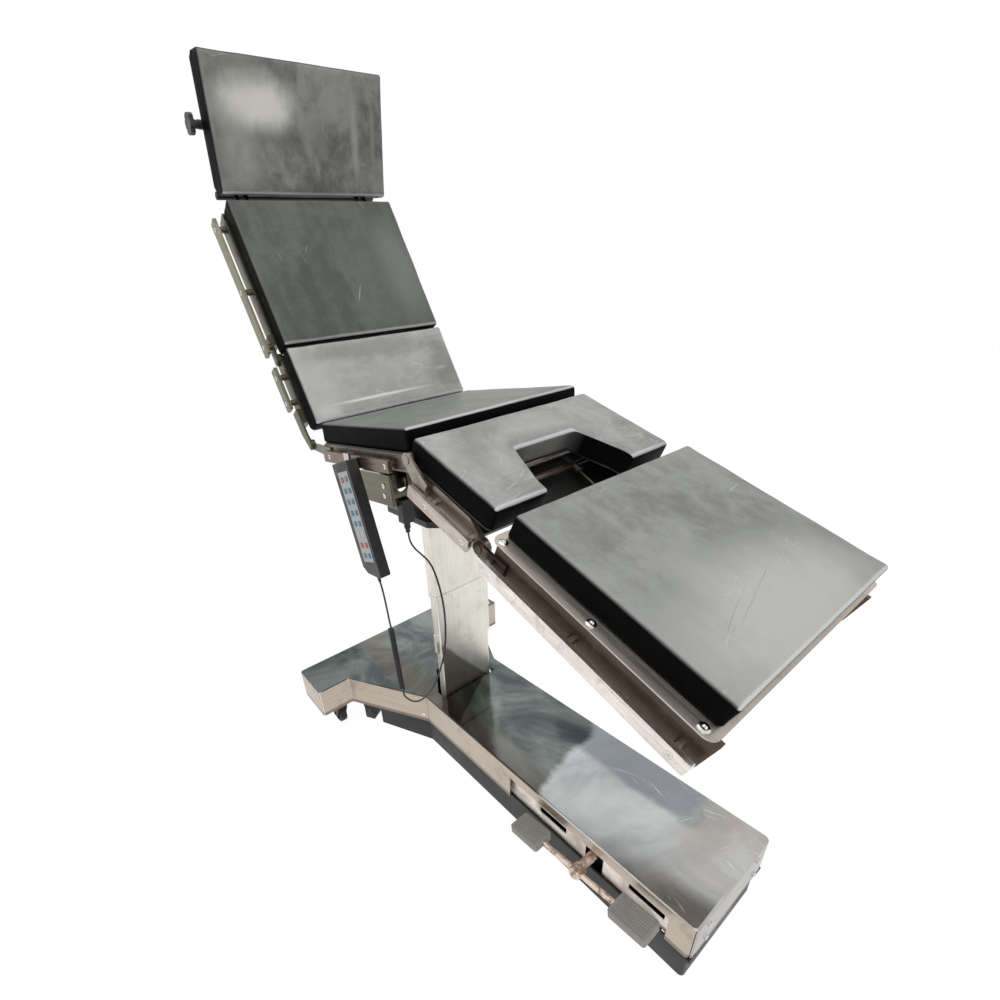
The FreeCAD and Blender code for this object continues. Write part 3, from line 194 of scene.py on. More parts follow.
CORD_RADIUS = 0.0024
COIL_TOP = Vector((-0.033, -0.305, 0.614))
COIL_BOTTOM = Vector((-0.030, -0.300, 0.408))
COIL_TURNS = 32
TURN_POINTS = 12
TURN_RADIUS = 0.0058
COIL_INSET, COIL_SHARE = 0.012, 0.976
lead = [(-0.0559, -0.302, 0.7380), (-0.0491, -0.302, 0.715), (-0.040, -0.3044, 0.682),
        (-0.0335, -0.3058, 0.648), (-0.0331, -0.3052, 0.622)]
coil_line = COIL_BOTTOM - COIL_TOP
across = coil_line.cross(Vector((0, 1, 0))).normalized()
beside = coil_line.cross(across).normalized()
coil = []
for step in range(COIL_TURNS * TURN_POINTS + 1):
    share = step / (COIL_TURNS * TURN_POINTS)
    turn = 2 * math.pi * step / TURN_POINTS
    centre = COIL_TOP + coil_line * (COIL_INSET + COIL_SHARE * share)
    coil.append(centre + TURN_RADIUS * (math.cos(turn) * across + math.sin(turn) * beside))
loop = [(-0.0296, -0.2994, 0.386), (-0.006, -0.294, 0.379), (0.026, -0.291, 0.395), (0.058, -0.286, 0.427),
        (0.092, -0.280, 0.478), (0.118, -0.272, 0.540), (0.132, -0.261, 0.603), (0.128, -0.248, 0.664),
        (0.104, -0.231, 0.714), (0.062, -0.211, 0.750), (0.008, -0.189, 0.770), (-0.046, -0.177, 0.771),
        (-0.086, -0.171, 0.773), (-0.112, -0.168, 0.788), (-0.112, -0.168, 0.812)]
cord_points = lead + coil + loop
cord_shape = bpy.data.curves.new("hand_control_cord", "CURVE")
cord_shape.dimensions = "3D"
cord_shape.bevel_depth = CORD_RADIUS
cord_shape.bevel_resolution = 3
cord_shape.resolution_u = 3
cord_shape.use_fill_caps = True
spline = cord_shape.splines.new("NURBS")
spline.points.add(len(cord_points) - 1)
for point, place in zip(spline.points, cord_points):
    point.co = (*place, 1.0)
spline.order_u = 3
spline.use_endpoint_u = True
cord = bpy.data.objects.new("hand_control_cord", cord_shape)
bpy.context.scene.collection.objects.link(cord)
cord_shape.materials.append(cord_black())
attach(cord, "table")
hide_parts("cord_lead", "cord_coil", "cord_loop")


# Hard rubber and moulded plastic of the plug, its socket under the saddle and the cord's strain relief: matt
# black with a fine spark-eroded grain, rubbed paler where hands and cloths reach it.
def moulded_black(name, tone, rough, grain=0.0002):
    finish = Finish(name)
    rubbed = finish.noise(18.0, 6.0, 0.6)
    return finish.set(Base_Color=finish.mix(rubbed, tone * 0.6, tone * 1.7),
                      Roughness=finish.sway(rubbed, rough - 0.08, rough + 0.12),
                      Normal=finish.bump(finish.noise(700.0, 3.0), grain))


def dress(material, *names):
    """Gives CAD pieces a finish in place of the plain one that they came with."""
    for name in names:
        nodes[name].data.materials.clear()
        nodes[name].data.materials.append(material)


dress(moulded_black("connector_plastic", 0.022, 0.45), "cord_plug", "cord_socket", "handset_relief")


# Base covers: two shells of polished stainless sheet. The top is mirror bright with a haze of fine scratches
# and wiping marks, cloudy where instruments and shoes have rubbed it. Near the column and along the far side
# it is painted dark as a painted reflection. The folded sides are a warmer brushed steel, darker along the
# hem, and the foot end face is painted a cooler grey as painted light.
def polished_cover():
    finish = Finish("polished_cover")
    height = finish.axis(finish.place, "Z")
    along = finish.axis(finish.place, "X")
    beside = finish.axis(finish.place, "Y")
    top = finish.step(height, 0.2010, 0.2035)
    haze = finish.noise(3.6, 7.0, 0.62, distort=0.9)
    fine = finish.noise(1.0, 5.0, 0.6, where=finish.turned(scale=(7, 7, 420)))
    wiped = finish.noise(1.0, 6.0, 0.6, where=finish.turned(scale=(7, 3.0, 9), spin=-12), distort=0.5)
    # Masks of the painted reflection: the dark stretch near the column gives way to bright steel here, the
    # near edge is browner, and the far side is darker.
    clear_of_painted_reflection = finish.step(along + beside * 0.18 + (haze - 0.5) * 0.10, 0.288, 0.312)
    cloudy_end = finish.step(along + (wiped - 0.5) * 0.22, 0.57, 0.66)
    far_side_painted_reflection = finish.step(beside + (haze - 0.5) * 0.05, 0.035, 0.060)
    swirl = finish.patch((0.215, 0.0, 0.0), 0.0, (0.11, 0.085, 0.0), wiped, 0.1)
    near_edge_painted_reflection = finish.step(beside, -0.13, -0.04, 1.0, 0.0) * finish.step(beside, -0.20, -0.15)
    # Painted reflection: the top near the column is painted dark, browner along the near edge, with a paler
    # wiped swirl.
    painted_dark_reflection = finish.mix(finish.step(haze, 0.36, 0.68), (0.045, 0.056, 0.055), (0.165, 0.185, 0.18))
    painted_dark_reflection = finish.mix(near_edge_painted_reflection * 0.55, painted_dark_reflection, (0.085, 0.066, 0.046))
    painted_dark_reflection = finish.mix(swirl * finish.step(wiped, 0.42, 0.62), painted_dark_reflection, (0.30, 0.33, 0.34))
    bright = finish.mix(finish.sway(wiped), (0.34, 0.355, 0.355), (0.56, 0.575, 0.575))
    # Painted reflection: a darker blue-grey stretch along the far side, short of the cloudy foot end.
    bright = finish.mix(far_side_painted_reflection * (1.0 - cloudy_end) * 0.75, bright, (0.20, 0.22, 0.245))
    bright = finish.mix(cloudy_end * finish.step(haze, 0.3, 0.6) * 0.8, bright, (0.40, 0.36, 0.315))
    scratches = 0.0
    for spin, lengthways, patchy in ((24, 6, 5.0), (-18, 8, 7.0), (68, 9, 6.0)):
        drawn = finish.turned(scale=(lengthways, 330, 9), spin=spin)
        lines = finish.noise(1.0, 2.0, 0.5, where=drawn, distort=0.3)
        grouped = finish.step(finish.noise(patchy, 2.0), 0.56, 0.64)
        scratches = finish.step(lines, 0.68, 0.72) * grouped + scratches
    scratches = scratches * (0.15 + 0.85 * clear_of_painted_reflection)
    mirror = finish.mix(scratches * 0.8, finish.mix(clear_of_painted_reflection, painted_dark_reflection, bright), (0.92, 0.92, 0.90))
    folded = finish.mix(finish.sway(fine), (0.46, 0.39, 0.32), (0.58, 0.50, 0.425))
    grime = finish.step(finish.noise(16.0, 6.0, 0.65), 0.52, 0.74)
    folded = finish.mix(grime * 0.45, folded, (0.235, 0.185, 0.145))
    # Painted light: the foot end face is painted a cooler grey than the folded sides.
    folded = finish.mix(finish.step(along, 0.718, 0.7245) * 0.8, folded, (0.40, 0.405, 0.40))
    hem = finish.step(height, 0.1085, 0.114, 1.0, 0.0)
    folded = finish.mix(hem * 0.7, folded, (0.14, 0.11, 0.09))
    polish = finish.sway(haze, 0.06, 0.17) + clear_of_painted_reflection * 0.08 + scratches * 0.25
    brushed = finish.sway(fine, 0.26, 0.38)
    rough = finish.node("ShaderNodeMix", {"data_type": "FLOAT"}, {0: top, 2: brushed, 3: polish})
    return finish.set(Base_Color=finish.mix(top, folded, mirror), Roughness=rough, Metallic=1.0,
                      Normal=finish.bump(fine * 0.3 + haze * 0.7, 0.0003))


dress(polished_cover(), "head_cover", "foot_cover")


# Cover screws: bright dome-headed screws with a round socket, in two rows on the end face, beside the ones
# that come with the covers. Each part of a screw is given as a share of its radius.
SCREW_DEPTH, SCREW_RIM, SCREW_DOME = 0.34, 0.22, 0.10
SOCKET_WALL, SOCKET_LIP, SOCKET_DEPTH = 0.34, 0.02, 0.3
SOCKET_EDGE = 0.0001


def chrome(name, tone=(0.78, 0.77, 0.75), rough=0.12):
    finish = Finish(name)
    smear = finish.noise(45.0, 5.0, 0.6)
    pits = finish.step(finish.noise(240.0, 3.0), 0.62, 0.72)
    return finish.set(Base_Color=finish.mix(pits * 0.5, finish.mix(smear, [c * 0.82 for c in tone], tone),
                                            (0.25, 0.23, 0.20)),
                      Roughness=finish.sway(smear, rough, rough + 0.16), Metallic=1.0,
                      Normal=finish.bump(smear, 0.0001))


def aimed(place, facing):
    """A placing whose own Z looks along a direction."""
    return Matrix.Translation(place) @ Vector(facing).to_track_quat("Z", "Y").to_matrix().to_4x4()


def socket_screw(name, place, facing, radius, body):
    """A domed head with a round socket, drawn facing up and then turned to face the way it is driven."""
    bpy.ops.object.select_all(action="DESELECT")
    bpy.ops.mesh.primitive_cylinder_add(vertices=24, radius=radius, depth=radius * SCREW_DEPTH)
    head = bpy.context.object
    head.name = name
    bpy.ops.object.mode_set(mode="EDIT")
    mesh = bmesh.from_edit_mesh(head.data)
    for face in mesh.faces:
        face.select_set(face.normal.z > 0.9)
    bpy.ops.mesh.inset(thickness=radius * SCREW_RIM)
    bpy.ops.transform.translate(value=(0, 0, radius * SCREW_DOME))
    bpy.ops.mesh.inset(thickness=radius * SOCKET_WALL)
    bpy.ops.transform.translate(value=(0, 0, radius * SOCKET_LIP))
    bpy.ops.mesh.inset(thickness=SOCKET_EDGE)
    bpy.ops.transform.translate(value=(0, 0, -radius * SOCKET_DEPTH))
    bpy.ops.object.mode_set(mode="OBJECT")
    bpy.ops.object.shade_smooth_by_angle(angle=math.radians(35))
    head.matrix_world = aimed(place, facing)
    bpy.ops.object.transform_apply(location=True, rotation=True, scale=True)
    head.data.materials.append(bright_screw)
    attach(head, body)


bright_screw = chrome("bright_screw")
dress(bright_screw, "cover_screws")
END_SCREWS = ((-0.100, 0.128), (0.100, 0.128), (-0.100, 0.176), (0.100, 0.176))
END_SCREW_RADIUS, END_SCREW_PROUD = 0.0062, 0.0028
end_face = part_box("foot_cover")[1].x
for number, (y, z) in enumerate(END_SCREWS, 1):
    place = (end_face + END_SCREW_PROUD, y, z)
    socket_screw(f"end_screw_{number}", place, (1, 0, 0), END_SCREW_RADIUS, "base")


# Base frame: a welded tray whose walls show as the black skirt under the covers, with its castors, brake feet
# and corner trims, all dulled by floor dust and cleaning.
def dusty_black(name, tone, rough, dust=0.06):
    finish = Finish(name)
    height = finish.axis(finish.place, "Z")
    cloud = finish.noise(9.0, 7.0, 0.6)
    low = finish.step(height, 0.0, 0.09, 1.0, 0.0)
    settled = finish.step(cloud, 0.42, 0.75) * (0.35 + 0.65 * low)
    return finish.set(Base_Color=finish.mix(settled, tone, dust),
                      Roughness=finish.sway(cloud, rough, rough + 0.2),
                      Normal=finish.bump(finish.noise(420.0, 3.0), 0.0003))


dress(dusty_black("skirt_paint", 0.014, 0.42), "base_frame")
dress(dusty_black("trim_rubber", 0.016, 0.55), "corner_trims", "brake_feet")
dress(dusty_black("tyre_rubber", 0.020, 0.60, 0.09), "castor_wheel_1", "castor_wheel_2", "foot_wheel_1",
      "foot_wheel_2")
dress(dusty_black("fork_paint", 0.020, 0.45), "castor_fork_1", "castor_fork_2")
dress(moulded_black("inlet_plastic", 0.018, 0.5), "power_inlet")


# Pedal recess: a bent plate with two long slots, dark with old polish, and the rocker pedal through it. The
# shaft and cross bar are plated steel gone brown with rust, and the treads are grey rubber with fine ribs.
def tarnished_plate():
    finish = Finish("recess_plate")
    stain = finish.noise(11.0, 6.0, 0.6, distort=0.6)
    stained = finish.step(stain, 0.35, 0.7)
    return finish.set(Base_Color=finish.mix(stained, (0.92, 0.83, 0.75), (0.55, 0.48, 0.43)),
                      Roughness=finish.sway(stain, 0.28, 0.48),
                      Metallic=finish.step(stain, 0.4, 0.7, 0.75, 0.4),
                      Normal=finish.bump(finish.noise(160.0, 4.0), 0.0002))


def rusted_bar():
    finish = Finish("rusted_bar")
    rust = finish.noise(38.0, 8.0, 0.7, distort=0.5)
    eaten = finish.step(rust, 0.44, 0.60)
    brown = finish.mix(finish.noise(120.0, 3.0), (0.26, 0.13, 0.07), (0.50, 0.35, 0.26))
    return finish.set(Base_Color=finish.mix(eaten, (0.75, 0.63, 0.55), brown),
                      Roughness=finish.step(eaten, 0.0, 1.0, 0.30, 0.80),
                      Metallic=finish.step(eaten, 0.0, 1.0, 1.0, 0.15),
                      Normal=finish.bump(rust, 0.0008))


def tread_rubber():
    finish = Finish("tread_rubber")
    striped = {"Vector": finish.place, "Scale": 120.0}
    ribs = finish.node("ShaderNodeTexWave", {"bands_direction": "Y"}, striped, "Fac")
    worn = finish.noise(26.0, 6.0, 0.6)
    return finish.set(Base_Color=finish.mix(worn, (0.30, 0.285, 0.265), (0.50, 0.48, 0.45)),
                      Roughness=finish.sway(worn, 0.55, 0.8), Normal=finish.bump(ribs, 0.00025))


dress(tarnished_plate(), "pedal_recess_plate")
dress(rusted_bar(), "pedal_shaft")
dress(tread_rubber(), "pedal_treads")


# Column covers: three telescopic sleeves of brushed stainless sheet, grained along their height, with marks
# of hands and dried cleaner, and a painted brown shadow at the foot of the front face. The collar on top is
# dark plastic.
def brushed_steel(name, tone, grain, angle=0.0, pivot=(0, 0, 0), stain=0.25, rough=0.26, contrast=0.7,
                  dirt_tone=(0.16, 0.125, 0.10), shaded=()):
    """Brushed stainless sheet. Grain gives how tight the brush lines are along each axis of the piece, and
    shaded lists bands of painted shadow at the foot of the front face: top, lean across the face, strength
    and shade."""
    finish = Finish(name)
    where = finish.turned(pivot, angle, grain)
    lines = finish.noise(1.0, 6.0, 0.65, where=where)
    cloud = finish.noise(7.0, 6.0, 0.6, distort=0.7)
    dirt = finish.step(finish.noise(24.0, 8.0, 0.70, distort=0.5), 0.50, 0.72) * stain
    specks = finish.step(finish.noise(150.0, 3.0, 0.6), 0.62, 0.70) * stain
    low = 1.0 - 0.35 * contrast
    clean = finish.mix(finish.sway(lines), [c * low for c in tone], [min(1.0, c * 1.06) for c in tone])
    clean = finish.mix(finish.step(cloud, 0.35, 0.75) * 0.6 * contrast, clean, [c * 0.58 for c in tone])
    worn = finish.mix(dirt, clean, dirt_tone)
    # Painted shadow: a brown band low on the face turned to the foot, slanting across it.
    for level, lean, strength, shade in shaded:
        facing = finish.axis(finish.node("ShaderNodeTexCoord", {}, {}, "Normal"), "X")
        below = finish.axis(finish.place, "Z") + finish.axis(finish.place, "Y") * lean
        below = finish.step(below + cloud * 0.03, level, level + 0.02, strength, 0.0)
        worn = finish.mix(below * finish.step(facing, 0.5, 0.9), worn, shade)
    return finish.set(Base_Color=finish.mix(specks * 0.7, worn, [c * 0.4 for c in dirt_tone]), Metallic=1.0,
                      Roughness=finish.sway(lines, rough, rough + 0.14) + dirt * 0.3,
                      Normal=finish.bump(lines * 0.6 + cloud * 0.4, 0.0003))


# The sleeves carry one band of painted brown shadow at the foot of the front face.
sleeve = brushed_steel("column_sleeve", (0.88, 0.86, 0.775), (300, 300, 3), stain=0.30, rough=0.36,
                       contrast=0.35, dirt_tone=(0.52, 0.47, 0.36),
                       shaded=((0.300, 1.20, 0.80, (0.20, 0.165, 0.125)),))
dress(sleeve, "column_cover_lower", "column_cover_middle", "column_cover_upper")
dress(moulded_black("collar_plastic", 0.02, 0.42), "column_collar")
dress(chrome("ground_chrome", (0.70, 0.70, 0.69), 0.08), "lift_piston", "tilt_shaft")


def enamel(name, tone, rough=0.38):
    finish = Finish(name)
    orange_peel = finish.noise(180.0, 2.0)
    chips = finish.step(finish.noise(34.0, 6.0, 0.7), 0.66, 0.70)
    painted = finish.mix(finish.noise(8.0, 5.0), [c * 0.8 for c in tone], tone)
    return finish.set(Base_Color=finish.mix(chips, painted, (0.30, 0.29, 0.27)),
                      Roughness=finish.step(chips, 0.0, 1.0, rough, 0.55),
                      Normal=finish.bump(orange_peel, 0.0002))


dress(enamel("casting_enamel", (0.17, 0.17, 0.165)), "lift_cylinder", "column_head", "gimbal_block")

# Tilting saddle: a deep welded box of brushed stainless plate, with U-shaped windows at its foot end and two
# socket screws up its near face. Its steel is painted dark as painted shade under the table top.
SADDLE_SCREWS = ((-0.150, 0.938), (-0.150, 0.912))
SADDLE_SCREW_RADIUS, SADDLE_SCREW_PROUD = 0.0065, 0.0008
saddle_steel = brushed_steel("saddle_steel", (0.165, 0.152, 0.112), (3, 60, 60), stain=0.25, rough=0.12)
dress(saddle_steel, "saddle_ring")
saddle_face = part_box("saddle_ring")[0].y - SADDLE_SCREW_PROUD
for number, (x, z) in enumerate(SADDLE_SCREWS, 1):
    socket_screw(f"saddle_screw_{number}", (x, saddle_face, z), (0, -1, 0), SADDLE_SCREW_RADIUS, "table")

# Side frames of the sections: flat stainless bars with welded cheeks and cross tubes, brushed along their
# length and spotted by water, on domed hinge pins. A section is where its hinge stands and how it slopes.
TABLE = ((-0.190, 0.0, 0.925), 4.0)
SEAT = ((0.080, 0.0, 1.058), -22.3)
LEG = ((0.2747, 0.0, 0.922), -23.3)
BACK = ((-0.391, 0.0, 1.027), -60.8)


def section_place(section, u, y, w):
    """A point of a section, u to the foot and w square to its pad, in the row frame."""
    pivot, pitch = section
    t = math.radians(pitch)
    along = u * math.cos(t) - w * math.sin(t)
    up = u * math.sin(t) + w * math.cos(t)
    return Vector((pivot[0] + along, y, pivot[2] + up))


def section_turn(section):
    """Takes what is drawn in a section's own frame to its place in the row frame."""
    pivot, pitch = section
    return Matrix.Translation(pivot) @ Matrix.Rotation(math.radians(-pitch), 4, "Y")


HEAD = (tuple(section_place(BACK, -0.688, 0.0, 0.002)), -99.7)
# Painted light and shade: one bar steel, given a paler or darker tone in each section by how it is lit.
BAR_LIGHT_AND_SHADE_TONES = {"table": (0.27, 0.25, 0.21), "seat": (0.42, 0.375, 0.33), "leg": (0.11, 0.083, 0.067),
             "lower_back": (0.17, 0.17, 0.12), "upper_back": (0.17, 0.17, 0.12)}
SECTIONS = {"table": TABLE, "seat": SEAT, "leg": LEG, "lower_back": BACK, "upper_back": BACK}
for name, (pivot, pitch) in SECTIONS.items():
    bar_steel = brushed_steel(f"{name}_bar_steel", BAR_LIGHT_AND_SHADE_TONES[name], (5, 240, 240), -pitch, pivot, stain=0.65)
    dress(bar_steel, f"{name}_frame")
plate_steel = brushed_steel("leg_plate_steel", (0.56, 0.51, 0.46), (4, 200, 200), -LEG[1], LEG[0], stain=0.25,
                            rough=0.36, contrast=0.35)
dress(plate_steel, "leg_plate")
dress(enamel("head_frame_paint", (0.03, 0.03, 0.03)), "head_frame")
dress(enamel("deck_paint", (0.022, 0.022, 0.024)), "table_deck", "seat_deck", "lower_back_deck",
      "upper_back_deck", "head_deck")

# Accessory rails: chromed flat bars on round spacers, each fixed by socket screws sunk in its face. Studs
# gives where the spacers stand along each section.
STUDS = {"table": (-0.058, 0.072, 0.209), "seat": (0.090, 0.206), "leg": (0.031, 0.229, 0.432),
         "lower_back": (-0.206, -0.132), "upper_back": (-0.636, -0.455, -0.296)}
# Painted light and shade: one chromed rail, given a paler or darker tone in each section by how it is lit.
RAIL_LIGHT_AND_SHADE_TONES = {"table": (0.26, 0.20, 0.165), "seat": (0.60, 0.54, 0.49), "leg": (0.96, 0.90, 0.84),
              "lower_back": (0.24, 0.24, 0.17), "upper_back": (0.24, 0.24, 0.17)}
RAIL_SCREW_RADIUS, RAIL_SCREW_SUNK = 0.0062, 0.0006
SIDES = (("near", -1), ("far", 1))
for name, studs in STUDS.items():
    section = SECTIONS[name]
    pivot, pitch = section
    rail_steel = brushed_steel(f"{name}_rail_steel", RAIL_LIGHT_AND_SHADE_TONES[name], (12, 160, 160), -pitch, pivot,
                               stain=0.38, rough=0.24)
    dress(rail_steel, f"{name}_rails")
    to_flat = section_turn(section).inverted()
    flat = [to_flat @ vertex.co for vertex in nodes[f"{name}_rails"].data.vertices]
    middle = (min(point.z for point in flat) + max(point.z for point in flat)) / 2
    face_y = max(abs(point.y) for point in flat) - RAIL_SCREW_SUNK
    for side, sign in SIDES:
        for number, u in enumerate(studs, 1):
            place = section_place(section, u, sign * face_y, middle)
            socket_screw(f"{name}_rail_screw_{side}_{number}", place, (0, sign, 0), RAIL_SCREW_RADIUS, name)

# Leg plate fixings: bright domed screws along both long edges of the plate, standing beside the pad, square
# to the plate.
LEG_SCREWS = (0.052, 0.245, 0.434)
LEG_SCREW_Y, LEG_SCREW_W, LEG_SCREW_RADIUS = 0.2725, 0.0618, 0.0085
leg_up = section_place(LEG, 0, 0, 1) - section_place(LEG, 0, 0, 0)
for side, sign in SIDES:
    for number, u in enumerate(LEG_SCREWS, 1):
        place = section_place(LEG, u, sign * LEG_SCREW_Y, LEG_SCREW_W)
        socket_screw(f"leg_plate_screw_{side}_{number}", place, leg_up, LEG_SCREW_RADIUS, "leg")


# Pads: firm foam slabs in black artificial leather, one to each section. The covers are drawn tight over
# crisp edges, greyed on top partly by wiping and dry disinfectant and partly by a painted sheen, with a
# painted highlight along their shoulders, and still near black down their sides. Each pad's grey is set on
# its own as painted light and shade.
def upholstery(name, section, tone, light, streak, worn_and_lit_patches=(), crease=0.3, lit=()):
    """Artificial leather. Tone and light are the dark and the wiped, paler shade of the top, which is grey
    partly from wiping and partly from painted sheen; streak stretches the wipe marks, and
    worn_and_lit_patches lists patches of wear, painted highlight and painted shade: u, y, their reach along u
    and y, how strong, and their shade. Lit lists places where the side catches the light: u, y, reach and
    shade."""
    pivot, pitch = section
    finish = Finish(name)
    flat = finish.turned(pivot, -pitch)
    normal = finish.node("ShaderNodeTexCoord", {}, {}, "Normal")
    t = math.radians(pitch)

    def facing(direction):
        return finish.node("ShaderNodeVectorMath", {"operation": "DOT_PRODUCT"}, {0: normal, 1: direction}, 1)

    def drawn(scale, spin=0.0):
        return finish.turned(pivot, -pitch, scale, spin)

    def spot(u, y, along, beside, ragged):
        return finish.patch(section_place(section, u, y, 0.0), -pitch, (along, beside, 0.0), ragged)

    upwards = facing((-math.sin(t), 0.0, math.cos(t)))
    footwards = facing((math.cos(t), 0.0, math.sin(t)))
    # Painted sheen: the top is painted grey over the near-black sides.
    on_top = finish.step(upwards, 0.50, 0.985)
    cloud = finish.noise(4.2, 6.0, 0.6, where=flat, distort=0.9)
    fine = finish.noise(30.0, 6.0, 0.65, where=flat, distort=0.5)
    wipe = finish.noise(1.0, 7.0, 0.62, where=drawn(streak), distort=1.1)
    face = finish.mix(finish.step(cloud * 0.40 + wipe * 0.34 + fine * 0.26, 0.40, 0.60), tone, light)
    # Patches of wear, painted highlight and painted shade, each blended over the top.
    for u, y, along, beside, strength, shade in worn_and_lit_patches:
        face = finish.mix(spot(u, y, along, beside, fine * 0.4 + wipe * 0.6) * strength, face, shade)
    rubbed = finish.noise(1.0, 9.0, 0.75, where=drawn((34, 7, 30)), distort=0.6)
    scuffs = finish.step(rubbed, 0.62, 0.72) * finish.step(cloud, 0.45, 0.60)
    folds = finish.noise(1.0, 3.0, 0.5, where=drawn((13, 2.0, 4), spin=14), distort=0.3)
    creases = finish.hairline(folds, 0.010) * finish.step(finish.noise(6.5, 3.0), 0.50, 0.62)
    scratches = 0.0
    for spin, lengthways in ((32, 5), (-47, 8)):
        lines = finish.noise(1.0, 2.0, 0.5, where=drawn((lengthways, 300, 4), spin=spin))
        grouped = finish.step(finish.noise(9.0, 2.0), 0.56, 0.64)
        scratches = finish.step(lines, 0.69, 0.73) * grouped + scratches
    pale = [min(1.0, c * 1.55) for c in light]
    face = finish.mix(scuffs * 0.35 + creases * crease, face, pale)
    face = finish.mix(scratches * 0.45, face, 0.72)
    cells = {"Vector": flat, "Scale": 620.0}
    hide = finish.node("ShaderNodeTexVoronoi", {"feature": "DISTANCE_TO_EDGE"}, cells, "Distance")
    grain = finish.step(hide, 0.0, 0.25)
    sides = finish.mix(finish.noise(14.0, 5.0), 0.002, 0.006)
    for u, y, along, beside, shade in lit:
        sides = finish.mix(spot(u, y, along, beside, 0.5), sides, shade)
    # Painted highlight along the rounded shoulders of the top, strongest where they face the foot.
    shoulder = finish.step(upwards, 0.30, 0.60) * finish.step(upwards, 0.90, 0.997, 1.0, 0.0)
    edge = shoulder * (0.10 + 0.90 * finish.step(footwards, 0.12, 0.36))
    edge = edge * finish.step(cloud, 0.2, 0.6, 0.6, 1.0)
    covered = finish.mix(edge, finish.mix(on_top, sides, face), [min(0.85, c * 1.25 + 0.30) for c in light])
    shine = finish.sway(wipe, 0.32, 0.44) + scuffs * 0.1
    finish.set(Specular_IOR_Level=0.02)
    soft = finish.bump(cloud * 0.7 + creases * 0.3, 0.0022)
    return finish.set(Base_Color=covered, Roughness=shine, Normal=finish.bump(grain, 0.00012, soft))


FOAM_CELL = 0.012
COVER_SLACK = 0.0014
COVER_FRAMES = 20
SWELL = 0.0024
SEATED_BAND = 0.3 * FOAM_CELL
LUMP_SIZE, LUMP_DEPTH = 0.085, 0.0022


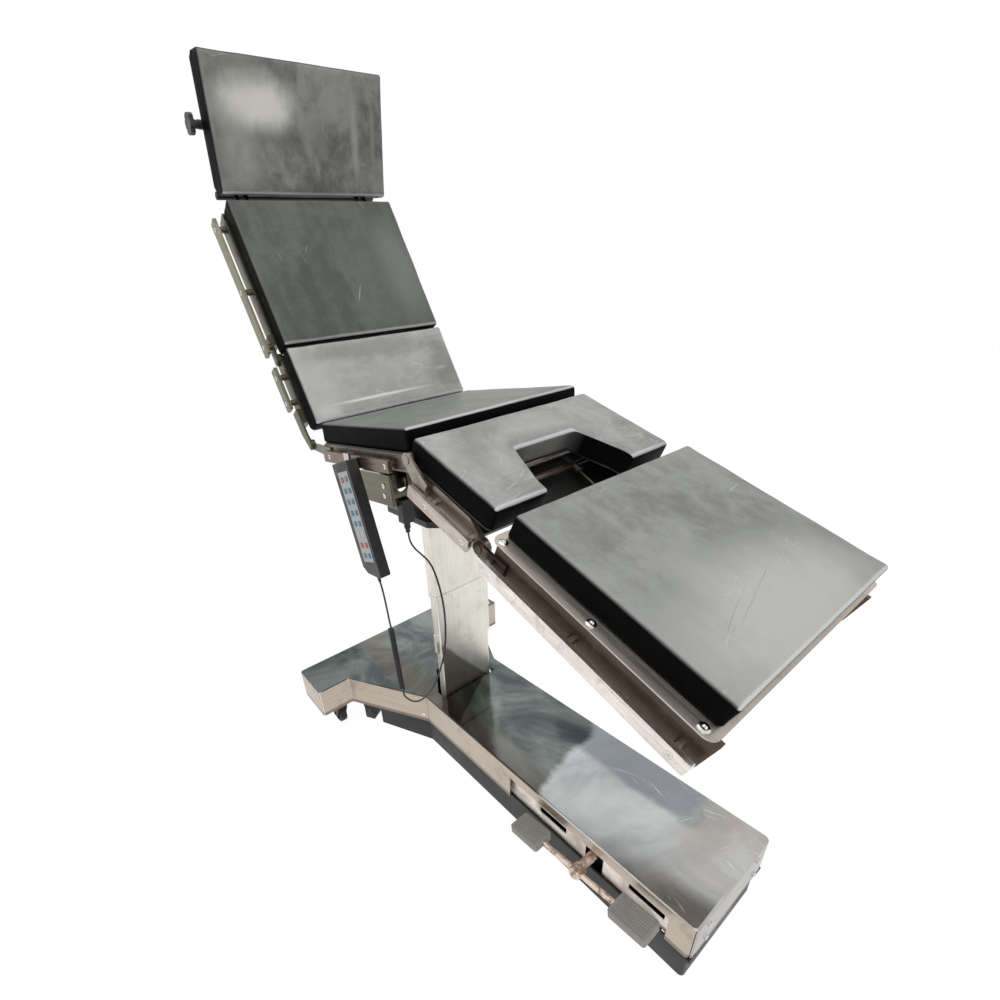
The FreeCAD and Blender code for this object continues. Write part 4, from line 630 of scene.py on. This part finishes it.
def stuffed_pad(name, node, body, section, material, hollow=(), longer=(0.0, 0.0)):
    """Cuts a foam slab to the pad's size, a little short, blows it up as a tight cover and pins it to its
    deck. Hollow gives half the width of a cut-out at places along u, from its closed end to the open one, and
    longer is how far the cover stands out at the two ends."""
    to_flat = section_turn(section).inverted()
    flat = [to_flat @ vertex.co for vertex in nodes[node].data.vertices]
    low = Vector([min(point[axis] for point in flat) + COVER_SLACK for axis in range(3)])
    high = Vector([max(point[axis] for point in flat) - COVER_SLACK for axis in range(3)])
    low.x, high.x = low.x - longer[0], high.x + longer[1]
    size = high - low
    bpy.ops.object.select_all(action="DESELECT")
    bpy.ops.mesh.primitive_grid_add(
        x_subdivisions=round(size.x / FOAM_CELL), y_subdivisions=round(size.y / FOAM_CELL), size=1,
        location=((low.x + high.x) / 2, 0, low.z - COVER_SLACK))
    pad = bpy.context.object
    pad.name = name
    pad.scale = (size.x, size.y, 1)
    bpy.ops.object.transform_apply(location=True, rotation=True, scale=True)
    bpy.ops.object.mode_set(mode="EDIT")
    if hollow:
        start, half = hollow[0]
        cuts = (((start, 0, 0), (1, 0, 0)), ((0, half, 0), (0, 1, 0)), ((0, -half, 0), (0, 1, 0)))
        for place, across in cuts:
            bpy.ops.mesh.select_all(action="SELECT")
            bpy.ops.mesh.bisect(plane_co=place, plane_no=across)
        mesh = bmesh.from_edit_mesh(pad.data)
        for face in mesh.faces:
            centre = face.calc_center_median()
            face.select_set(centre.x > start and abs(centre.y) < half)
        bpy.ops.mesh.delete(type="FACE")
        mesh = bmesh.from_edit_mesh(pad.data)
        for vertex in mesh.verts:
            for (u0, half0), (u1, half1) in zip(hollow, hollow[1:]):
                if u0 < vertex.co.x <= u1:
                    wide = half0 + (half1 - half0) * (vertex.co.x - u0) / (u1 - u0)
                    share = (high.y - abs(vertex.co.y)) / (high.y - half)
                    vertex.co.y = math.copysign(high.y - share * (high.y - wide), vertex.co.y)
        bmesh.update_edit_mesh(pad.data)
    bpy.ops.mesh.select_all(action="SELECT")
    layers = round(size.z / FOAM_CELL)
    for layer in range(layers):
        bpy.ops.mesh.extrude_region_move(TRANSFORM_OT_translate={"value": (0, 0, size.z / layers)})
    bpy.ops.mesh.select_all(action="SELECT")
    bpy.ops.mesh.normals_make_consistent(inside=False)
    bpy.ops.object.mode_set(mode="OBJECT")
    seated = pad.vertex_groups.new(name="seated")
    seated.add([v.index for v in pad.data.vertices if v.co.z < low.z + SEATED_BAND], 1.0, "REPLACE")
    before = [vertex.co.copy() for vertex in pad.data.vertices]
    cloth = pad.modifiers.new("cover", "CLOTH")
    cloth.settings.quality = 4
    cloth.settings.use_pressure = True
    cloth.settings.uniform_pressure_force = 4.0
    cloth.settings.tension_stiffness = 20
    cloth.settings.compression_stiffness = 20
    cloth.settings.bending_stiffness = 4
    cloth.settings.vertex_group_mass = "seated"
    cloth.settings.effector_weights.gravity = 0.0
    for moment in range(1, COVER_FRAMES + 1):
        bpy.context.scene.frame_set(moment)
    bpy.ops.object.modifier_apply(modifier=cloth.name)
    for vertex, start in zip(pad.data.vertices, before):
        moved = vertex.co - start
        vertex.co = start + moved * min(1.0, SWELL / max(moved.length, SWELL))
    lumps = bpy.data.textures.new(f"{name}_lumps", "CLOUDS")
    lumps.noise_scale = LUMP_SIZE
    lumps.noise_depth = 1
    uneven = pad.modifiers.new("uneven", "DISPLACE")
    uneven.texture = lumps
    uneven.strength = LUMP_DEPTH
    bpy.ops.object.modifier_apply(modifier=uneven.name)
    finer = pad.modifiers.new("finer", "SUBSURF")
    finer.levels = finer.render_levels = 1
    bpy.ops.object.modifier_apply(modifier=finer.name)
    pad.data.transform(to_flat.inverted())
    bpy.ops.object.shade_smooth()
    pad.data.materials.append(material)
    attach(pad, body)
    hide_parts(node)


# Each pad's tones are set on its own as painted light and shade, and its patches hold painted highlights and
# painted shade besides wear.
stuffed_pad("head_cushion", "head_pad", "head", HEAD, upholstery(
    "head_leather", HEAD, (0.15, 0.155, 0.146), (0.33, 0.337, 0.32), (5, 9, 5),
    worn_and_lit_patches=((-0.205, -0.13, 0.075, 0.14, 0.80, (0.95, 0.935, 0.86)),
          (-0.26, -0.16, 0.05, 0.10, 0.4, (0.42, 0.42, 0.39)),
          (-0.10, -0.19, 0.13, 0.07, 0.5, (0.46, 0.465, 0.44)),
          (-0.15, 0.155, 0.13, 0.016, 0.7, (0.40, 0.41, 0.39)),
          (-0.15, 0.215, 0.12, 0.010, 0.4, (0.36, 0.37, 0.35)),
          (-0.14, 0.06, 0.09, 0.09, 0.35, (0.12, 0.123, 0.118)))), longer=(0.0, 0.006))
stuffed_pad("upper_back_cushion", "upper_back_pad", "upper_back", BACK, upholstery(
    "upper_back_leather", BACK, (0.125, 0.132, 0.122), (0.18, 0.188, 0.174), (3, 14, 3), crease=0.1,
    worn_and_lit_patches=((-0.44, 0.20, 0.20, 0.10, 0.55, (0.29, 0.30, 0.285)),
          (-0.40, -0.12, 0.16, 0.030, 0.45, (0.095, 0.10, 0.093)))), longer=(0.009, 0.0))
stuffed_pad("lower_back_cushion", "lower_back_pad", "lower_back", BACK, upholstery(
    "lower_back_leather", BACK, (0.45, 0.458, 0.44), (0.58, 0.59, 0.565), (12, 2.5, 12),
    worn_and_lit_patches=((-0.21, 0.0, 0.05, 0.30, 0.6, (0.30, 0.307, 0.295)),
          (-0.072, -0.04, 0.006, 0.20, 0.9, (0.95, 0.96, 0.93)),
          (-0.045, -0.21, 0.05, 0.05, 0.6, (0.85, 0.86, 0.83)),
          (-0.13, 0.22, 0.12, 0.09, 0.6, (0.24, 0.245, 0.235)),
          (-0.12, -0.21, 0.11, 0.08, 0.5, (0.66, 0.67, 0.65)))))
stuffed_pad("middle_cushion", "table_pad", "table", TABLE, upholstery(
    "middle_leather", TABLE, (0.23, 0.24, 0.227), (0.31, 0.32, 0.305), (10, 3, 10),
    worn_and_lit_patches=((0.262, 0.0, 0.010, 0.27, 0.35, (0.50, 0.51, 0.49)),)))
stuffed_pad("seat_cushion", "seat_pad", "seat", SEAT, upholstery(
    "seat_leather", SEAT, (0.34, 0.348, 0.335), (0.52, 0.53, 0.51), (6, 5, 6),
    worn_and_lit_patches=((0.05, 0.02, 0.05, 0.12, 0.45, (0.60, 0.61, 0.59)),
          (0.10, -0.19, 0.10, 0.06, 0.4, (0.30, 0.307, 0.295))),
    lit=((0.112, 0.0, 0.045, 0.125, (0.21, 0.215, 0.205)),)), longer=(0.006, 0.0),
    hollow=((0.110, 0.090), (0.205, 0.124), (0.2435, 0.130)))
stuffed_pad("leg_cushion", "leg_pad", "leg", LEG, upholstery(
    "leg_leather", LEG, (0.27, 0.278, 0.264), (0.42, 0.43, 0.41), (4, 9, 4), crease=0.6,
    worn_and_lit_patches=((0.40, -0.02, 0.17, 0.34, 0.9, (0.64, 0.65, 0.63)),
          (0.12, -0.18, 0.09, 0.08, 0.4, (0.27, 0.277, 0.265)),
          (0.30, -0.10, 0.10, 0.05, 0.3, (0.56, 0.57, 0.55)))))

# Seat underside: a black drip tray between the side bars below the cut-out, with a cross bar over it and the
# two gas springs of the leg section, which have black tubes and dull rods.
tray_black = enamel("tray_black", (0.014, 0.013, 0.012), 0.5)
TRAY_START, TRAY_END, TRAY_HALF_Y, TRAY_W = 0.060, 0.198, 0.2488, -0.064
TRAY_RIM, TRAY_SLOPE, TRAY_BORDER, TRAY_SHEET = 0.012, 0.004, 0.010, 0.0015
bpy.ops.object.select_all(action="DESELECT")
bpy.ops.mesh.primitive_plane_add(size=1)
tray = bpy.context.object
tray.name = "seat_tray"
tray.scale = (TRAY_END - TRAY_START, 2 * TRAY_HALF_Y, 1)
tray.location = ((TRAY_START + TRAY_END) / 2, 0, TRAY_W)
bpy.ops.object.transform_apply(location=True, rotation=True, scale=True)
bpy.ops.object.mode_set(mode="EDIT")
bpy.ops.mesh.select_all(action="SELECT")
bpy.ops.mesh.inset(thickness=TRAY_SLOPE, depth=-TRAY_RIM)
bpy.ops.mesh.inset(thickness=TRAY_BORDER)
bpy.ops.mesh.select_all(action="SELECT")
bpy.ops.mesh.normals_make_consistent(inside=False)
bpy.ops.object.mode_set(mode="OBJECT")
sheet = tray.modifiers.new("sheet", "SOLIDIFY")
sheet.thickness = TRAY_SHEET
bpy.ops.object.modifier_apply(modifier=sheet.name)
tray.data.transform(section_turn(SEAT))
tray.data.materials.append(tray_black)
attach(tray, "seat")


ROD_EASE = 0.25


def turned_rod(name, start, end, radius, section, body, material):
    """A round bar with eased ends, drawn in a section's own frame and put in place."""
    bpy.ops.object.select_all(action="DESELECT")
    line = Vector(end) - Vector(start)
    bpy.ops.mesh.primitive_cylinder_add(vertices=24, radius=radius, depth=line.length)
    rod = bpy.context.object
    rod.name = name
    rod.matrix_world = aimed((Vector(start) + Vector(end)) / 2, line)
    bpy.ops.object.transform_apply(location=True, rotation=True, scale=True)
    rim = rod.modifiers.new("rim", "BEVEL")
    rim.width = radius * ROD_EASE
    rim.segments = 2
    bpy.ops.object.modifier_apply(modifier=rim.name)
    bpy.ops.object.shade_smooth_by_angle(angle=math.radians(35))
    rod.data.transform(section_turn(section))
    rod.data.materials.append(material)
    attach(rod, body)


CROSS_U, CROSS_W, CROSS_RADIUS = 0.128, -0.044, 0.007
cross_steel = brushed_steel("cross_bar_steel", (0.20, 0.16, 0.13), (60, 4, 60), stain=0.6, rough=0.3)
turned_rod("seat_cross_bar", (CROSS_U, -TRAY_HALF_Y, CROSS_W), (CROSS_U, TRAY_HALF_Y, CROSS_W), CROSS_RADIUS,
           SEAT, "seat", cross_steel)
SPRING_Y, SPRING_TUBE, SPRING_ROD = 0.118, 0.0095, 0.0040
TUBE_FROM, TUBE_TO, ROD_FROM, ROD_TO = (0.066, -0.040), (0.150, -0.047), (0.148, -0.047), (0.205, -0.052)
TUBE_END, ROD_END = 0.94, 0.90
for side, sign in SIDES:
    start_y = sign * SPRING_Y
    tube_y, rod_y = start_y * TUBE_END, start_y * ROD_END
    turned_rod(f"seat_spring_tube_{side}", (TUBE_FROM[0], start_y, TUBE_FROM[1]),
               (TUBE_TO[0], tube_y, TUBE_TO[1]), SPRING_TUBE, SEAT, "seat", tray_black)
    rod_steel = brushed_steel(f"spring_rod_steel_{side}", (0.10, 0.085, 0.07), (60, 60, 60), stain=0.6,
                              rough=0.4)
    turned_rod(f"seat_spring_rod_{side}", (ROD_FROM[0], tube_y, ROD_FROM[1]), (ROD_TO[0], rod_y, ROD_TO[1]),
               SPRING_ROD, SEAT, "seat", rod_steel)

# Head hinge: a black tube across the foot end of the head plate, close behind the pad, over the whole width
# of the plate. It also fills the gap to the upper back pad as a dark piece that stands in for shade.
TUBE_U, TUBE_HALF_Y, TUBE_W, TUBE_RADIUS = -0.0216, 0.250, -0.029, 0.0095
turned_rod("head_hinge_and_gap_shade_tube", (TUBE_U, -TUBE_HALF_Y, TUBE_W), (TUBE_U, TUBE_HALF_Y, TUBE_W), TUBE_RADIUS,
           HEAD, "head", tray_black)

# Head clamp knob: a lobed knob of black plastic on the end of the clamp rod, with the same fine grain as the
# plug.
dress(moulded_black("knob_plastic", 0.02, 0.4), "head_knob")

# Hand control: a flat black case hung by a steel hook, with a membrane of paired soft keys. The case is
# rubbed paler in places, and the keys stand a little proud.
dress(moulded_black("case_plastic", 0.016, 0.36), "handset_body")
dress(chrome("hook_steel", (0.60, 0.58, 0.54), 0.22), "handset_hook")
HANDSET = ((-0.1412, 0.0, 1.0277), 16.4)
KEY_FACE_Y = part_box("handset_keypad")[0].y
KEY_SIDE, KEY_DEPTH, KEY_CORNER, KEY_RISE, KEY_BORDER = 0.013, 0.0016, 0.003, 0.0004, 0.0008
KEY_START, KEY_PITCH = -0.006, 0.0235
PANEL_LOW, PANEL_HIGH, PANEL_TOP, PANEL_ENDS = -0.244, -0.022, 0.018, 0.034


def film(name, tone):
    finish = Finish(name)
    smear = finish.noise(60.0, 4.0)
    return finish.set(Base_Color=finish.mix(smear, [c * 0.88 for c in tone], tone), Coat_Weight=0.3,
                      Roughness=finish.sway(smear, 0.22, 0.38), Normal=finish.bump(smear, 0.0001))


dress(film("key_panel", (0.50, 0.54, 0.54)), "handset_keypad")
KEYS = (("red", "green"), *[("blue", "blue")] * 4, ("pale", "pale"), ("red", "red"), ("green", "blue"))
key_films = {"red": film("red_key", (0.55, 0.09, 0.06)), "green": film("green_key", (0.10, 0.28, 0.15)),
             "blue": film("blue_key", (0.05, 0.22, 0.36)), "pale": film("pale_key", (0.62, 0.66, 0.58))}
key_drop = (PANEL_HIGH - PANEL_LOW - PANEL_ENDS) / (len(KEYS) - 1)
for row, pair in enumerate(KEYS):
    w = PANEL_HIGH - PANEL_TOP - row * key_drop
    for column, tone in enumerate(pair):
        u = KEY_START + column * KEY_PITCH
        bpy.ops.object.select_all(action="DESELECT")
        bpy.ops.mesh.primitive_cube_add(size=1, location=(u, KEY_FACE_Y - KEY_RISE, w),
                                        scale=(KEY_SIDE, KEY_DEPTH, KEY_SIDE))
        key = bpy.context.object
        key.name = f"key_{row + 1}_{column + 1}"
        bpy.ops.object.transform_apply(location=True, rotation=True, scale=True)
        bpy.ops.object.mode_set(mode="EDIT")
        mesh = bmesh.from_edit_mesh(key.data)
        for edge in mesh.edges:
            edge.select_set(abs((edge.verts[0].co - edge.verts[1].co).normalized().y) > 0.9)
        bpy.ops.mesh.bevel(offset=KEY_CORNER, segments=4)
        mesh = bmesh.from_edit_mesh(key.data)
        for face in mesh.faces:
            face.select_set(face.normal.y < -0.9)
        bpy.ops.mesh.inset(thickness=KEY_BORDER)
        bpy.ops.transform.translate(value=(0, -KEY_RISE, 0))
        bpy.ops.object.mode_set(mode="OBJECT")
        key.data.transform(section_turn(HANDSET))
        bpy.ops.object.shade_smooth_by_angle(angle=math.radians(40))
        key.data.materials.append(key_films[tone])
        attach(key, "table")

# Studio: a white floor that keeps the object's shadow, a white surround that glossy steel also mirrors, and
# three broad soft lamps.
FLOOR_SIZE, FLOOR_GLOW, FLOOR_GLOW_SHARE = 60, 1.07, 0.90
SOFT_LIGHT, SEEN_LIGHT = 0.42, 1.0
LAMPS = (("overhead_lamp", (0.2, -0.4, 3.6), 2.6, 27), ("foot_lamp", (3.2, -1.6, 2.6), 2.2, 24),
         ("head_lamp", (-2.6, 1.8, 3.0), 2.2, 12))
LAMP_AIM = Vector((0, 0, 0.9))
bpy.ops.object.select_all(action="DESELECT")
bpy.ops.mesh.primitive_plane_add(size=FLOOR_SIZE, location=(0, 0, 0))
floor = bpy.context.object
floor.name = "studio_floor"
paper = Finish("floor_white")
paper.set(Base_Color=0.93, Roughness=0.9)
seen_as_white = 0.0
for ray in ("Is Camera Ray", "Is Glossy Ray", "Is Transmission Ray"):
    seen_as_white = paper.node("ShaderNodeLightPath", {}, {}, ray) + seen_as_white
glow = paper.node("ShaderNodeEmission", {}, {"Color": colour(1.0), "Strength": FLOOR_GLOW})
output = paper.tree.nodes["Material Output"]
blended = paper.tree.nodes.new("ShaderNodeMixShader")
paper.feed(blended.inputs[0], seen_as_white * FLOOR_GLOW_SHARE)
paper.tree.links.new(paper.shader.outputs[0], blended.inputs[1])
paper.tree.links.new(glow.socket, blended.inputs[2])
paper.tree.links.new(blended.outputs[0], output.inputs["Surface"])
floor.data.materials.append(paper.material)
world = bpy.data.worlds.new("surround")
bpy.context.scene.world = world
world.use_nodes = True
surround = world.node_tree
rays = surround.nodes.new("ShaderNodeLightPath")
seen = surround.nodes.new("ShaderNodeMath")
seen.operation = "MAXIMUM"
mirrored = surround.nodes.new("ShaderNodeMath")
mirrored.operation = "MAXIMUM"
surround.links.new(rays.outputs["Is Camera Ray"], seen.inputs[0])
surround.links.new(rays.outputs["Is Glossy Ray"], seen.inputs[1])
surround.links.new(seen.outputs[0], mirrored.inputs[0])
surround.links.new(rays.outputs["Is Transmission Ray"], mirrored.inputs[1])
level_of_light = surround.nodes.new("ShaderNodeMapRange")
surround.links.new(mirrored.outputs[0], level_of_light.inputs["Value"])
level_of_light.inputs["To Min"].default_value = SOFT_LIGHT
level_of_light.inputs["To Max"].default_value = SEEN_LIGHT
surround.links.new(level_of_light.outputs[0], surround.nodes["Background"].inputs["Strength"])
surround.nodes["Background"].inputs["Color"].default_value = (1, 1, 1, 1)
for name, place, size, power in LAMPS:
    light = bpy.data.lights.new(name, "AREA")
    light.energy = power
    light.size = size
    lamp = bpy.data.objects.new(name, light)
    bpy.context.scene.collection.objects.link(lamp)
    lamp.location = place
    lamp.rotation_euler = (LAMP_AIM - Vector(place)).to_track_quat("-Z", "Y").to_euler()
bpy.context.scene.view_settings.view_transform = "Standard"
